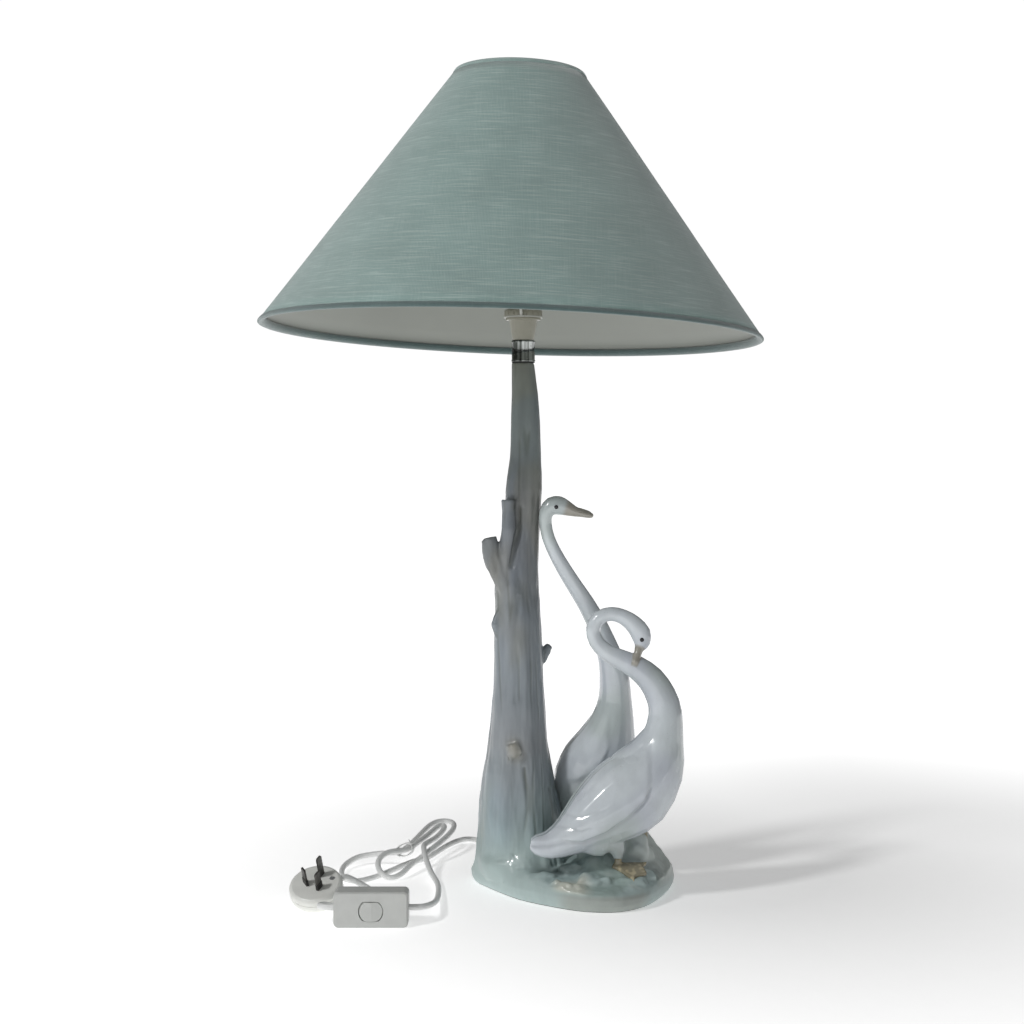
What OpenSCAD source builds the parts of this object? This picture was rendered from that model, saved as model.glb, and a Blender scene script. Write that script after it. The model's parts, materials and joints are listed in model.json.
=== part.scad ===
// Figural table lamp: a porcelain tree trunk and two geese, with a hung cone shade.
// Millimetres. The lamp stands on z = 0, its tube runs up the z axis, the geese stand
// towards +x and the viewer is towards -y. The rim of the shade is the widest part.

/* [Shade] */
// Diameter of the lower rim
shade_bottom_d = 446; // [300:1:520]
// Diameter of the upper rim
shade_top_d = 116; // [90:1:180]
// Height from rim to rim
shade_h = 232; // [150:1:300]
// Lean towards +x, in degrees
shade_lean = 2.1; // [0:0.1:3]
// Lean towards +y, in degrees
shade_back = 1.4; // [0:0.1:2]
// Height of the seat that the shade hangs from
seat_z = 715; // [690:1:740]

/* [Porcelain] */
// Height of the trunk's top
trunk_top = 470; // [460:1:480]
// Half length of the ground along x
ground_a = 91; // [88:1:110]
// Half length of the ground along y
ground_b = 89; // [86:1:105]
// Thickness of the porcelain wall
wall = 6; // [4:0.5:8]
// Thickness of the felt
felt_t = 1; // [0.5:0.1:2]

/* [Tube] */
// Radius of the threaded tube
rod_r = 4.9; // [4:0.1:6]
// Radius of the tube's bore
rod_bore = 3.6; // [3:0.1:4]
// Height of the tube's top
rod_top = 500; // [490:1:505]

/* [Lampholder] */
// Height of the flange that the carrier sits on
flange_z = 510; // [505:1:515]
// Outer radius of the barrel
barrel_r = 14.2; // [13.5:0.1:15]
// Radius of the bulb's globe
bulb_r = 30; // [22:0.5:32]

/* [Cord] */
// Radius of the cord
cord_r = 2.8; // [2:0.1:3.5]

/* [Switch] */
// Length of the switch
switch_l = 61.5; // [50:0.5:75]
// Width of the switch
switch_w = 29.5; // [24:0.5:36]
// Depth of the switch
switch_d = 20; // [16:0.5:24]
// Tilt of the rocker at rest, in degrees
rocker_tilt = 6; // [3:0.5:8]

/* [Plug] */
// Radius of the plug
plug_r = 23; // [20:0.5:26]
// Thickness of the plug
plug_t = 18; // [18:0.5:22]
// Length of the blades
blade_l = 17; // [15:0.5:20]

/* [Hidden] */
$fn = 48;
ground_x = 44;
ground_y = 2;
cap_z = rod_top - 10;
barrel_top = flange_z + 38;
contact_z = flange_z + 22;
contact_x = 4.5;
terminal_y = 7;
carrier_at = 84;
pin_z = contact_z + 6.6;
lean_at = [-3.4, 0, seat_z + 1.02];
switch_at = [-126, -111, switch_w / 2];
plug_turn = [29, -6, 0];
plug_round = 10;
plug_slope = acos(cos(plug_turn[0]) * cos(plug_turn[1]));
plug_low = (plug_r - plug_round) * sin(plug_slope) + plug_round * (1 - cos(plug_slope));
plug_at = [-176, -66, plug_low];
plug_exit = 31;
plug_exit_z = 8;
exit_at = [-20, 60, 10];
exit_dir = 130;

porcelain_grey = [0.60, 0.64, 0.68];
porcelain_green = [0.58, 0.66, 0.64];
porcelain_white = [0.86, 0.88, 0.90];
tan_paint = [0.75, 0.62, 0.38];
white_plastic = [0.90, 0.90, 0.88];
cream = [0.88, 0.85, 0.76];
chrome = [0.72, 0.74, 0.76];
brass = [0.80, 0.66, 0.34];
steel = [0.55, 0.56, 0.58];
teal = [0.47, 0.58, 0.58];
felt_grey = [0.62, 0.64, 0.63];
rubber = [0.17, 0.17, 0.17];
trim_teal = [0.42, 0.53, 0.53];

// Curves and skins

function spline(a, b, c, d, t) = 0.5 * (2 * b + (c - a) * t + (2 * a - 5 * b + 4 * c - d) * t * t
    + (3 * b - a - 3 * c + d) * t * t * t);
function curve(p, n) = concat([for (i = [0:len(p) - 2]) for (k = [0:n - 1])
    spline(p[max(i - 1, 0)], p[i], p[i + 1], p[min(i + 2, len(p) - 1)], k / n)], [p[len(p) - 1]]);
function unit(v) = v / norm(v);
function xyz(v) = [v[0], v[1], v[2]];
function along(p, i) = unit(xyz(p[min(i + 1, len(p) - 1)]) - xyz(p[max(i - 1, 0)]));
function oval(c, u, v, a, b, n) = [for (k = [0:n - 1])
    c + a * cos(360 * k / n) * u + b * sin(360 * k / n) * v];
function flat_oval(z, cx, cy, a, b, n) = oval([cx, cy, z], [1, 0, 0], [0, 1, 0], a, b, n);
function middle(r) = [for (k = [0:2]) [for (q = r) q[k]] * [for (q = r) 1] / len(r)];
function bump(x, y, cx, cy, s) = exp(-(pow(x - cx, 2) + pow(y - cy, 2)) / (2 * s * s));

// A closed skin over rings of points, each ring counterclockwise about its direction.
module skin(rings) {
    n = len(rings[0]);
    m = len(rings);
    points = concat([for (r = rings) each r], [middle(rings[0]), middle(rings[m - 1])]);
    sides = [for (i = [0:m - 2]) for (j = [0:n - 1]) for (s = [0:1])
        s == 0 ? [i * n + j, (i + 1) * n + j, (i + 1) * n + (j + 1) % n]
            : [i * n + j, (i + 1) * n + (j + 1) % n, i * n + (j + 1) % n]];
    first = [for (j = [0:n - 1]) [j, (j + 1) % n, m * n]];
    last = [for (j = [0:n - 1]) [(m - 1) * n + (j + 1) % n, (m - 1) * n + j, m * n + 1]];
    polyhedron(points, concat(sides, first, last));
}

// A limb of oval section, upright in the x-z plane. A point is [x, y, z, half height, half width].
module limb(p, n) {
    skin([for (i = [0:len(p) - 1])
        let (t = along(p, i), u = unit(cross([0, 1, 0], t)), v = cross(t, u))
        oval(xyz(p[i]), u, v, p[i][3], p[i][4], n)]);
}

// A round wire along a line of points, without twist.
function wire_sides(p) = [for (i = 0, t = along(p, 0), u = unit(cross(t, [0.31, 0.47, 0.83]));
    i < len(p); i = i + 1, t = along(p, min(i, len(p) - 1)), u = unit(u - t * (u * t))) u];
module wire(p, r, n = 8) {
    sides = wire_sides(p);
    skin([for (i = [0:len(p) - 1])
        oval(p[i], sides[i], cross(along(p, i), sides[i]), r, r, n)]);
}

// One mesh out of several skins.
module fuse() {
    resize([0, 0, 0]) union() children();
}

// A ring of rectangular section.
module ring(r1, r2, h) {
    rotate_extrude() translate([r1, 0]) square([r2 - r1, h]);
}

module rounded_block(l, w, h, r) {
    linear_extrude(h) {
        square([l - 2 * r, w], center = true);
        square([l, w - 2 * r], center = true);
        for (x = [-1, 1]) for (y = [-1, 1])
            translate([x * (l / 2 - r), y * (w / 2 - r)]) circle(r);
    }
}

// Porcelain

// The ground rises under the trunk, and into a rock between the geese that carries their bodies.
function ground_top(x, y) = 17 + 9 * bump(x, y, 0, 0, 45) + 38 * bump(x, y, 102, 4, 16)
    + 20 * bump(x, y, 70, 6, 18) + 19 * bump(x, y, 62, -32, 13) + 13 * bump(x, y, 92, -38, 16);
// Outline of the ground in half lengths. Its front left side is drawn in, its left end is narrow.
outline = [
    [1, 0], [0.978, 0.315], [0.835, 0.63], [0.484, 0.9], [0.066, 1], [-0.264, 0.985],
    [-0.505, 0.826], [-0.72, 0.635], [-0.956, 0.438], [-1, 0.247], [-0.88, 0], [-0.692, -0.315],
    [-0.484, -0.584], [-0.077, -0.9], [0.176, -1], [0.44, -0.989], [0.692, -0.787], [0.868, -0.438]
];
function closed_curve(p, n) = let (m = len(p)) [for (i = [0:m - 1]) for (k = [0:n - 1])
    spline(p[(i + m - 1) % m], p[i], p[(i + 1) % m], p[(i + 2) % m], k / n)];
rim = closed_curve(outline, 3);
function ground_xy(s) = [for (q = rim)
    [ground_x + ground_a * s * q[0], ground_y + ground_b * s * q[1]]];
function ground_ring(s, drop) = [for (q = ground_xy(s)) [q[0], q[1], ground_top(q[0], q[1]) - drop]];
function level_ring(s, z) = [for (q = ground_xy(s)) [q[0], q[1], z]];

module ground_base() {
    color(porcelain_green) difference() {
        skin([
            ground_ring(0.08, wall), ground_ring(0.3, wall), ground_ring(0.5, wall),
            ground_ring(0.65, wall + 0.5), ground_ring(0.8, wall + 2), ground_ring(0.88, wall + 4),
            level_ring(0.915, 8), level_ring(0.9, felt_t), level_ring(0.965, felt_t),
            level_ring(0.995, 6), level_ring(1, 11), ground_ring(0.98, 1.8),
            ground_ring(0.93, 0), ground_ring(0.8, 0), ground_ring(0.7, 0), ground_ring(0.6, 0),
            ground_ring(0.5, 0), ground_ring(0.35, 0), ground_ring(0.2, 0), ground_ring(0.05, 0)
        ]);
        translate([0, 0, 10]) cylinder(r = rod_r + 0.5, h = 30);
        translate([0, 0, 10]) cylinder(r = 20, h = 10);
        translate(exit_at) rotate([0, 0, exit_dir]) rotate([0, 90, 0]) {
            translate([0, 0, -25]) cylinder(r = 5.1, h = 40);
            translate([0, 0, 0.6]) cylinder(r = 7.4, h = 20);
        }
    }
}

trunk_line = [
    [21, 1, 43.5], [25, 1, 43], [42, -1, 40.4], [56, -1.9, 37.6], [78, -3.9, 34.6],
    [106, -4.8, 30.5], [121, -4.8, 27.8], [135, -4.8, 26], [164, -4.3, 23.7], [192, -4.3, 22],
    [221, -4.7, 21.5], [257, -5, 20], [271, -5.7, 19.7], [300, -3, 17], [328, -0.5, 15.5],
    [357, 0.6, 16.1], [385, 2, 13.9], [414, 2, 13], [443, 1.5, 11.6], [trunk_top, -0.3, 9.9]
];
bore_line = [
    [15, 1, 36.5], [42, -1, 34], [78, -3.9, 28], [121, -4.8, 21.5], [164, -4.3, 17.8],
    [221, -4.5, 15.6], [271, -4, 13.6], [300, -2, 11.5], [328, -0.5, 10], [357, 0.4, 9.6],
    [385, 1, 8.2], [414, 0.6, 7], [443, 0, 6.2], [trunk_top + 1, 0, 5.5]
];
function bark(a, z) = 1 + (0.02 + 0.035 * exp(-z / 120)) * sin(5 * a) * cos(0.7 * z)
    + 0.022 * sin(9 * a + 20 * sin(2 * z)) * (z > 430 ? 0.3 : 1)
    + 0.05 * exp(-z / 45) * sin(3 * a);
// The foot of the trunk sits back from the tube, and its front is flatter than its back.
function settled(p) = let (foot = exp(-p[2] / 50))
    [p[0], p[1] * (p[1] < 0 ? 1 - 0.4 * foot : 1) + 20 * foot, p[2]];
function trunk_ring(q, n) = [for (k = [0:n - 1]) let (a = 360 * k / n, r = q[2] * bark(a, q[0]))
    settled([q[1] + r * cos(a), r * sin(a), q[0]])];
function bore_ring(q, n) = [for (p = flat_oval(q[0], q[1], 0, q[2], q[2], n)) settled(p)];

module tree_trunk() {
    lower_stump = curve([[-14, -8, 262, 7, 7], [-20, -10, 279, 8, 8], [-29, -12, 297, 7.5, 7.5],
        [-31.5, -13, 312, 6, 6]], 3);
    upper_stump = curve([[-13, -9, 284, 7, 7], [-14, -12, 305, 7.5, 7.5], [-12, -13, 328, 6.5, 6.5],
        [-13.5, -12, 346, 4.2, 4.2]], 3);
    side_stub = curve([[14, 6, 208, 5, 5], [20, 7, 212, 4.4, 4.4], [24, 7, 217, 3, 3]], 2);
    color(porcelain_grey) fuse() difference() {
        union() {
            skin([for (q = curve(trunk_line, 2)) trunk_ring(q, 44)]);
            limb(lower_stump, 14);
            limb(upper_stump, 14);
            limb(side_stub, 10);
            translate([-24, -6, 236]) sphere(r = 5, $fn = 16);
            translate([-8, -26, 127]) sphere(r = 6, $fn = 16);
        }
        skin([for (q = curve(bore_line, 2)) bore_ring(q, 24)]);
    }
}

tall_line = [
    [29.9, 24, 52.4, 3, 3], [38.9, 24, 68.7, 15, 13], [51.6, 23, 86.5, 28.5, 21],
    [66, 21, 104.9, 33.5, 27], [75.9, 19, 127.8, 27, 26], [81.2, 16, 149.7, 19.5, 20],
    [82.8, 14, 168.2, 15.3, 16], [82.2, 11, 184.8, 13.8, 14], [78.9, 8, 203.2, 11.6, 11.6],
    [72.5, 6, 221.4, 9.8, 9.8], [64.3, 4, 239.5, 8.9, 8.9], [55.3, 1, 255.9, 8, 8],
    [45.3, -2, 271.3, 7.3, 7.3], [36.3, -5, 285.8, 6.8, 6.8], [28.3, -7, 300.1, 6.2, 6.2],
    [22.4, -8, 313.6, 5.8, 5.8], [19.8, -8, 326.1, 5.7, 5.7], [20.3, -8, 336, 6.6, 6.6],
    [25.2, -8, 342.2, 8.2, 7.4], [31.7, -8, 342.6, 8.6, 7.6], [38.4, -8, 340.2, 7, 6.4],
    [45.4, -8, 337.4, 4.9, 5.2], [53, -8, 335.2, 3.3, 5.2], [60, -8, 333.8, 2.7, 5],
    [62.6, -8, 333.4, 1.2, 3]
];

module tall_goose() {
    color(porcelain_white) limb(curve(tall_line, 2), 20);
}

preening_line = [
    [5.6, -50, 50.4, 3.4, 5], [10.4, -50, 49.8, 7.8, 10], [22.2, -50, 49.6, 11.2, 15.5],
    [38.6, -48, 56.6, 16.4, 22],
    [57.2, -44, 68.8, 25.4, 28], [77.3, -40, 81.9, 33.2, 32], [98, -38, 96, 35.2, 31],
    [114.8, -37, 116.8, 27, 25], [121.8, -36, 140.4, 18.5, 18.5], [124, -36, 162.2, 15, 15],
    [120, -36, 177.5, 13.5, 13.5], [111, -36, 192, 12.2, 12.2], [98.2, -36, 202.4, 10.5, 10.5],
    [84.3, -36, 209.4, 8.8, 8.8], [72, -36, 215.8, 7.4, 7.4], [63.3, -36, 224.8, 6.7, 6.7],
    [60.7, -36, 236, 6.4, 6.4], [66, -36, 245.4, 6.3, 6.3], [76.4, -36, 248.9, 6.3, 6.3],
    [86.9, -36, 246.3, 6.8, 6.6], [96, -36, 240, 8, 7.4], [102.4, -36, 231.6, 9, 7.8],
    [103.2, -36, 223.8, 7.6, 6.8], [101, -36, 218.2, 4.2, 4.6], [99.2, -36, 214.8, 1.4, 3]
];

thigh_line = [
    [44, -46, 53, 7, 12], [60, -45, 52.5, 12.5, 18], [72, -44, 53, 13.4, 16],
    [80, -44, 47.5, 9, 10.5], [82, -44.5, 40, 5, 5.6], [82, -45, 36, 3.2, 3.4]
];

module preening_goose() {
    color(porcelain_white) fuse() {
        limb(curve(preening_line, 2), 20);
        limb(curve(thigh_line, 2), 16);
    }
}

module webbed_foot() {
    linear_extrude(3.4) polygon([[-4.5, -4], [3.5, -5.5], [21, -15], [20, -8], [27, 0],
        [20, 8], [21, 15], [3.5, 5.5], [-4.5, 4]]);
}

// A leg on the ground at [x, y], with its foot turned by a and tipped forwards by tip, and its
// top at height z.
module leg(x, y, a, tip, r, z) {
    low = ground_top(x, y) - 1.5;
    translate([x, y, low]) {
        rotate([tip, 0, 0]) rotate([0, 0, a]) webbed_foot();
        cylinder(r1 = r, r2 = r * 1.2, h = z - low);
    }
}

// The near foot stands on the ground; the far shank ends in the rock behind the body.
module front_goose_legs() {
    color(tan_paint) {
        leg(82, -46, -26, 22, 2.8, 38);
        translate([108, -15, 34]) cylinder(r1 = 1.9, r2 = 2.3, h = 38);
    }
}

module rear_goose_legs() {
    color(tan_paint) {
        leg(72, 40, 25, 0, 3, 94);
        leg(90, 28, -10, 0, 3, 100);
    }
}

module felt_pad() {
    color(felt_grey) linear_extrude(felt_t) polygon(ground_xy(0.94));
}

// Tube and its fixings

module stem_rod() {
    color(brass) translate([0, 0, 13]) ring(rod_bore, rod_r, rod_top - 13);
}

module rod_washer() {
    color(steel) translate([0, 0, 18.5]) ring(rod_r + 0.2, 15, 1.5);
}

module rod_nut() {
    color(brass) translate([0, 0, 14]) difference() {
        cylinder(r = 8.1, h = 4.5, $fn = 6);
        translate([0, 0, -1]) cylinder(r = rod_r + 0.03, h = 7);
    }
}

module cord_grommet() {
    color(rubber) translate(exit_at) rotate([0, 0, exit_dir]) rotate([0, 90, 0]) {
        translate([0, 0, -7]) ring(cord_r + 0.15, 5, 8);
        translate([0, 0, 0.7]) ring(cord_r + 0.15, 7.2, 1.8);
    }
}

module neck_gasket() {
    color(rubber) translate([0, 0, trunk_top]) ring(rod_r + 0.2, 10.2, 1);
}

module neck_collar() {
    color(chrome) translate([0, 0, trunk_top + 1]) rotate_extrude() polygon([
        [9.2, 0], [10.6, 0], [10.6, 1.2], [10.3, 1.8], [10.3, 16.6], [10.6, 17.2],
        [10.6, 18.4], [10.2, 19], [rod_r + 0.1, 19], [rod_r + 0.1, 17.4], [9.2, 17.4]]);
}

// Lampholder

module holder_cap() {
    color(cream) rotate_extrude() polygon([
        [rod_r + 0.05, cap_z], [9.6, cap_z], [12.6, flange_z - 2], [15.5, flange_z - 2],
        [15.5, flange_z], [10.4, flange_z], [9.6, cap_z + 11], [7.2, cap_z + 10],
        [rod_r + 0.05, cap_z + 10]]);
}

module holder_body() {
    color(cream) difference() {
        translate([0, 0, flange_z]) rotate_extrude() polygon([
            [11.4, 0], [barrel_r, 0], [barrel_r, 36.8], [barrel_r - 0.8, 38], [11.8, 38],
            [11.4, 37.6], [11.4, 9], [10, 9], [10, 7], [11.4, 6]]);
        for (s = [0, 180]) rotate([0, 0, s]) {
            translate([0, 0, pin_z - 1.8]) rotate([0, 0, 83]) rotate_extrude(angle = 29)
                translate([11.2, 0]) square([2.2, 3.6]);
            rotate([0, 0, 105]) translate([11.1, -1.4, pin_z - 1.8])
                cube([2.3, 2.8, barrel_top - pin_z + 3]);
        }
    }
}

module contact_block() {
    color([0.88, 0.87, 0.84]) translate([0, 0, flange_z + 9]) difference() {
        cylinder(r = 11.3, h = 9);
        for (x = [-contact_x, contact_x]) translate([x, 0, -1]) {
            cylinder(r = 1.35, h = 12);
            translate([0, 0, 3]) cylinder(r = 2.4, h = 12);
        }
        for (y = [-terminal_y, terminal_y]) translate([0, y, -1]) cylinder(r = 2.05, h = 3.5);
    }
}

module contact_plungers() {
    color(brass) for (x = [-contact_x, contact_x]) translate([x, 0, 0]) {
        translate([0, 0, flange_z + 6]) cylinder(r = 1.2, h = 12);
        translate([0, 0, contact_z - 4.6]) cylinder(r = 2.2, h = 4.6);
        translate([0, 0, flange_z + 5.4]) cylinder(r = 1.9, h = 0.8);
    }
}

module plunger_springs() {
    low = flange_z + 11.3;
    high = contact_z - 4.9;
    color(steel) for (x = [-contact_x, contact_x]) wire([for (k = [0:60])
        [x + 1.75 * cos(30 * k), 1.75 * sin(30 * k), low + (high - low) * k / 60]], 0.25, 6);
}

module holder_terminals() {
    color(brass) for (y = [-terminal_y, terminal_y]) translate([0, y, flange_z + 4]) difference() {
        cylinder(r = 2, h = 6.5);
        translate([0, 0, -1]) cylinder(r = 0.95, h = 4.5);
        translate([0, 0, 1.6]) rotate([0, 90, 0]) cylinder(r = 0.8, h = 5);
    }
}

module terminal_screws() {
    color(steel) for (y = [-terminal_y, terminal_y])
        translate([1.1, y, flange_z + 5.6]) rotate([0, 90, 0]) {
        cylinder(r = 0.75, h = 1.6);
        translate([0, 0, 1]) difference() {
            cylinder(r = 1.4, h = 1.2);
            translate([-0.25, -2, 0.7]) cube([0.5, 4, 1]);
        }
    }
}

module core_wires() {
    for (s = [-1, 1]) color(s > 0 ? [0.45, 0.27, 0.14] : [0.25, 0.42, 0.68])
        wire(curve([[0, s * 1.2, rod_top + 4.02], [0, s * 1.6, rod_top + 6], [0, s * 4, rod_top + 10],
            [0, s * 6.7, rod_top + 12.6], [0, s * 7, rod_top + 14.6]], 3), 0.8, 8);
}

module shade_ring() {
    color(cream) translate([0, 0, flange_z + 1.25]) difference() {
        rotate_extrude() polygon([[barrel_r + 0.08, 0], [17, 0], [17, 4.6], [16.2, 6],
            [barrel_r + 0.08, 6]]);
        for (k = [0:17]) rotate([0, 0, 20 * k]) translate([17.6, 0, 1.4])
            cylinder(r = 1, h = 6);
    }
}

// Carrier that holds the shade above the bulb

module carrier_base_ring() {
    color(white_plastic) translate([0, 0, flange_z + 0.02]) {
        ring(barrel_r + 0.25, 17.4, 1.18);
        for (s = [0, 180]) rotate([0, 0, carrier_at + s]) translate([16, -2.5, 0])
            cube([4.6, 5, 1.18]);
    }
}

module carrier_wires() {
    side = curve([[18.9, 0, flange_z + 1.2], [25, 0, flange_z + 14], [34, 0, flange_z + 40],
        [39.5, 0, flange_z + 74], [40, 0, flange_z + 108], [34, 0, flange_z + 142],
        [23, 0, flange_z + 175], [14.5, 0, seat_z - 8], [13.5, 0, seat_z - 1]], 3);
    color(white_plastic) for (s = [0, 180]) rotate([0, 0, carrier_at + s]) wire(side, 1.4, 10);
}

module carrier_seat() {
    color(white_plastic) translate([0, 0, seat_z]) {
        translate([0, 0, -2]) cylinder(r = 18, h = 2);
        cylinder(r = 11, h = 5);
        translate([0, 0, 5]) cylinder(r1 = 11, r2 = 9.5, h = 1.5);
    }
}

// Shade, drawn upright and then leaned about the seat

module leaned() {
    translate(lean_at) rotate([-shade_back, shade_lean, 0]) children();
}
low_z = -shade_h + 12;
top_r = shade_top_d / 2;
bottom_r = shade_bottom_d / 2;
trim_h = 3.5;
trim_in = trim_h * (bottom_r - top_r) / shade_h;

module shade_fabric() {
    color(teal) leaned() rotate_extrude() polygon([[bottom_r - 0.55, low_z], [bottom_r, low_z],
        [top_r, 12], [top_r - 0.55, 12]]);
}

module shade_lining() {
    color([0.93, 0.93, 0.91]) leaned() rotate_extrude() polygon([[bottom_r - 1.05, low_z],
        [bottom_r - 0.55, low_z], [top_r - 0.55, 12], [top_r - 1.05, 12]]);
}

module hoop(r, z) {
    translate([0, 0, z]) rotate_extrude() translate([r, 0]) circle(1.4);
}

module shade_top_ring() {
    color(white_plastic) leaned() hoop(top_r - 1.6, 10.2);
}

module shade_bottom_ring() {
    color(white_plastic) leaned() hoop(bottom_r - 4.4, low_z + 1.9);
}

module shade_spider() {
    arm = curve([[18.9, 0, 1.5], [24, 0, 1.7], [34, 0, 3.4], [46, 0, 8], [top_r - 2.4, 0, 10.2]], 3);
    color(white_plastic) leaned() {
        ring(15, 19.6, 1.6);
        for (a = [30, 150, 270]) rotate([0, 0, a]) wire(arm, 1.3, 10);
    }
}

module shade_trim(r, z) {
    color(trim_teal) leaned() rotate_extrude() polygon([[r + 0.05, z], [r + 0.85, z],
        [r + 0.85 - trim_in, z + trim_h], [r + 0.05 - trim_in, z + trim_h]]);
}

module shade_top_trim() {
    shade_trim(top_r + trim_in, 12 - trim_h);
}

module shade_bottom_trim() {
    shade_trim(bottom_r, low_z);
}

// Bulb

globe_z = contact_z + 79;
glass_line = [
    [9.6, contact_z + 22], [10.5, contact_z + 25], [11.5, contact_z + 33], [15.5, contact_z + 45],
    [22.5, contact_z + 56], [28, contact_z + 66], [bulb_r, globe_z], [28.8, globe_z + 9],
    [24, globe_z + 18.5], [15.5, globe_z + 25.5], [6.5, globe_z + 28.6], [0, globe_z + 29.2]
];
glass_in = [for (q = glass_line) [max(q[0] - 0.9, 0), q[1] - (q[0] < 20 && q[1] > globe_z ? 0.9 : 0)]];

module bulb_glass() {
    outer = curve(glass_line, 3);
    inner = curve(glass_in, 3);
    color([0.95, 0.95, 0.93, 0.75]) rotate_extrude() polygon(concat(outer,
        [for (i = [len(inner) - 1:-1:0]) inner[i]]));
}

module bulb_cap() {
    color(chrome) {
        rotate_extrude() polygon([[10.2, contact_z + 1.2], [11.05, contact_z + 1.2],
            [11.05, contact_z + 21.3], [10.5, contact_z + 22], [10.2, contact_z + 22]]);
        for (s = [-1, 1]) translate([0, s * 10.3, pin_z]) rotate([-90 * s, 0, 0])
            cylinder(r = 1, h = 2.5);
    }
}

module bulb_contacts() {
    color([0.10, 0.09, 0.10]) translate([0, 0, contact_z + 0.4]) difference() {
        cylinder(r = 10.2, h = 3);
        for (x = [-contact_x, contact_x]) translate([x, 0, -1]) cylinder(r = 1.9, h = 2.5);
    }
    color(brass) for (x = [-contact_x, contact_x]) translate([x, 0, contact_z + 0.02])
        cylinder(r = 1.9, h = 1.9);
}

module bulb_mount() {
    color([0.85, 0.88, 0.88]) rotate_extrude() polygon([[0, contact_z + 24], [7, contact_z + 22.4],
        [8.7, contact_z + 23], [5, contact_z + 27], [2.8, contact_z + 34],
        [2.4, contact_z + 52], [0, contact_z + 54]]);
}

module bulb_filament() {
    color(steel) {
        for (s = [-1, 1]) wire(curve([[s * 1.8, 0, contact_z + 48], [s * 5, 0, contact_z + 56],
            [s * 13, 0, contact_z + 68]], 3), 0.35, 6);
        wire([for (k = [0:12]) [-13 + 26 * k / 12, 0.7 * (k % 2), contact_z + 68 + 5 * sin(15 * k)]],
            0.3, 6);
    }
}

// Cords

exit_in = exit_at + 14 * [-cos(exit_dir), -sin(exit_dir), 0];
exit_out = exit_at + 8 * [cos(exit_dir), sin(exit_dir), 0];
cord_line = [
    [0, 0, rod_top + 4], [0, 0, 380], [0, 0, 260], [0, 0, 140], [0, 0, 40], [0, 0, 22], [0, 0, 13],
    [-1.8, 4, 8], [-6, 14, 6.4], [-8.6, 30, 7], exit_in, exit_at, exit_out, [-28, 82, 6.5],
    [-27, 100, 3.6], [-28, 130, 3], [-36, 165, 3], [-50, 185, 3], [-63, 179, 3], [-76, 150, 3],
    [-88, 110, 3.2], [-98, 88, 4.3], [-102, 85, 4.5], [-113, 68, 3.8], [-124, 48, 3], [-138, 24, 3],
    [-151, 13, 3], [-162, 22, 3], [-167, 44, 3.5], [-166, 66, 5], [-158, 80, 8], [-150, 87, 9],
    [-136, 87, 11], [-122, 84, 12.5], [-112, 90, 14], [-102, 120, 18], [-92, 157, 22],
    [-83, 169, 24], [-73, 170, 24], [-67, 160, 23], [-68.5, 139, 21], [-76.5, 113, 18],
    [-87, 90, 14], [-97, 69, 10], [-104, 50, 9], [-111, 32, 5], [-121, 24, 3.2], [-131, 31, 8],
    [-133, 44, 15], [-126, 56, 19], [-116, 68, 18], [-109, 78, 17], [-104, 90, 17.5],
    [-94, 120, 19], [-84, 150, 22], [-78.5, 156, 23], [-76, 148, 22], [-83, 124, 18],
    [-92, 96, 18.5], [-93, 76, 19], [-90, 56, 14], [-84, 30, 7], [-77.4, 6, 4], [-74.7, -23, 4],
    [-74.3, -66, 7], [-77, -98, 11.5], [-84, -117, 14], [-92, -121, 14.75], [-100, -121, 14.75]
];

module lamp_cord() {
    color(white_plastic) wire(curve(cord_line, 2), cord_r, 8);
}

function turned(p) = let (a = plug_turn[0], b = plug_turn[1], y = p[1] * cos(a) - p[2] * sin(a),
    z = p[1] * sin(a) + p[2] * cos(a)) [p[0] * cos(b) + z * sin(b), y, z * cos(b) - p[0] * sin(b)];
function on_plug(r, z) = plug_at + turned([r * cos(plug_exit), r * sin(plug_exit), z]);
plug_line = [
    on_plug(plug_r - 6, plug_exit_z), on_plug(plug_r, plug_exit_z), on_plug(plug_r + 6, 7.6),
    [-139, -46, 14], [-128, -50, 8], [-122, -62, 4], [-127, -78, 4], [-140, -92, 6.5], [-157, -100, 10],
    [-168, -106, 13], [-169, -117, 14.6], [-161, -121, 14.75], [-152, -121, 14.75]
];

module plug_cord() {
    color(white_plastic) wire(curve(plug_line, 3), cord_r, 8);
}

// Three turns of tape round two strands, with its end standing up.
module cord_tie() {
    across = [cos(-30) * cos(21.7), sin(-30) * cos(21.7), sin(21.7)];
    up = [-cos(-30) * sin(21.7), -sin(-30) * sin(21.7), cos(21.7)];
    ahead = cross(across, up);
    middle_at = [-103, 80, 0] + [-9.15 * cos(-30), -9.15 * sin(-30), 15.25];
    turns = [for (k = [0:54])
        middle_at + 10.2 * cos(20 * k) * across + 5.6 * sin(20 * k) * up + (k - 27) * 0.085 * ahead];
    end = turns[54] + 1.2 * ahead + 5 * up;
    color(white_plastic) wire(concat(turns, [end, end + 3 * up]), 0.7, 6);
}

// Switch, drawn face up and then stood on its edge

module on_edge() {
    translate(switch_at) rotate([90, 0, 0]) children();
}
split = switch_d / 2;
hinge_z = 14;
hinge_y = -1.2;
screw_x = 25;
screw_y = 9.5;

module cord_ports(z) {
    for (s = [-1, 1]) translate([s * (switch_l / 2 - 5), 0, z]) rotate([0, 90, 0])
        translate([0, 0, -5]) cylinder(r = cord_r + 0.3, h = 10);
}

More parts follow.
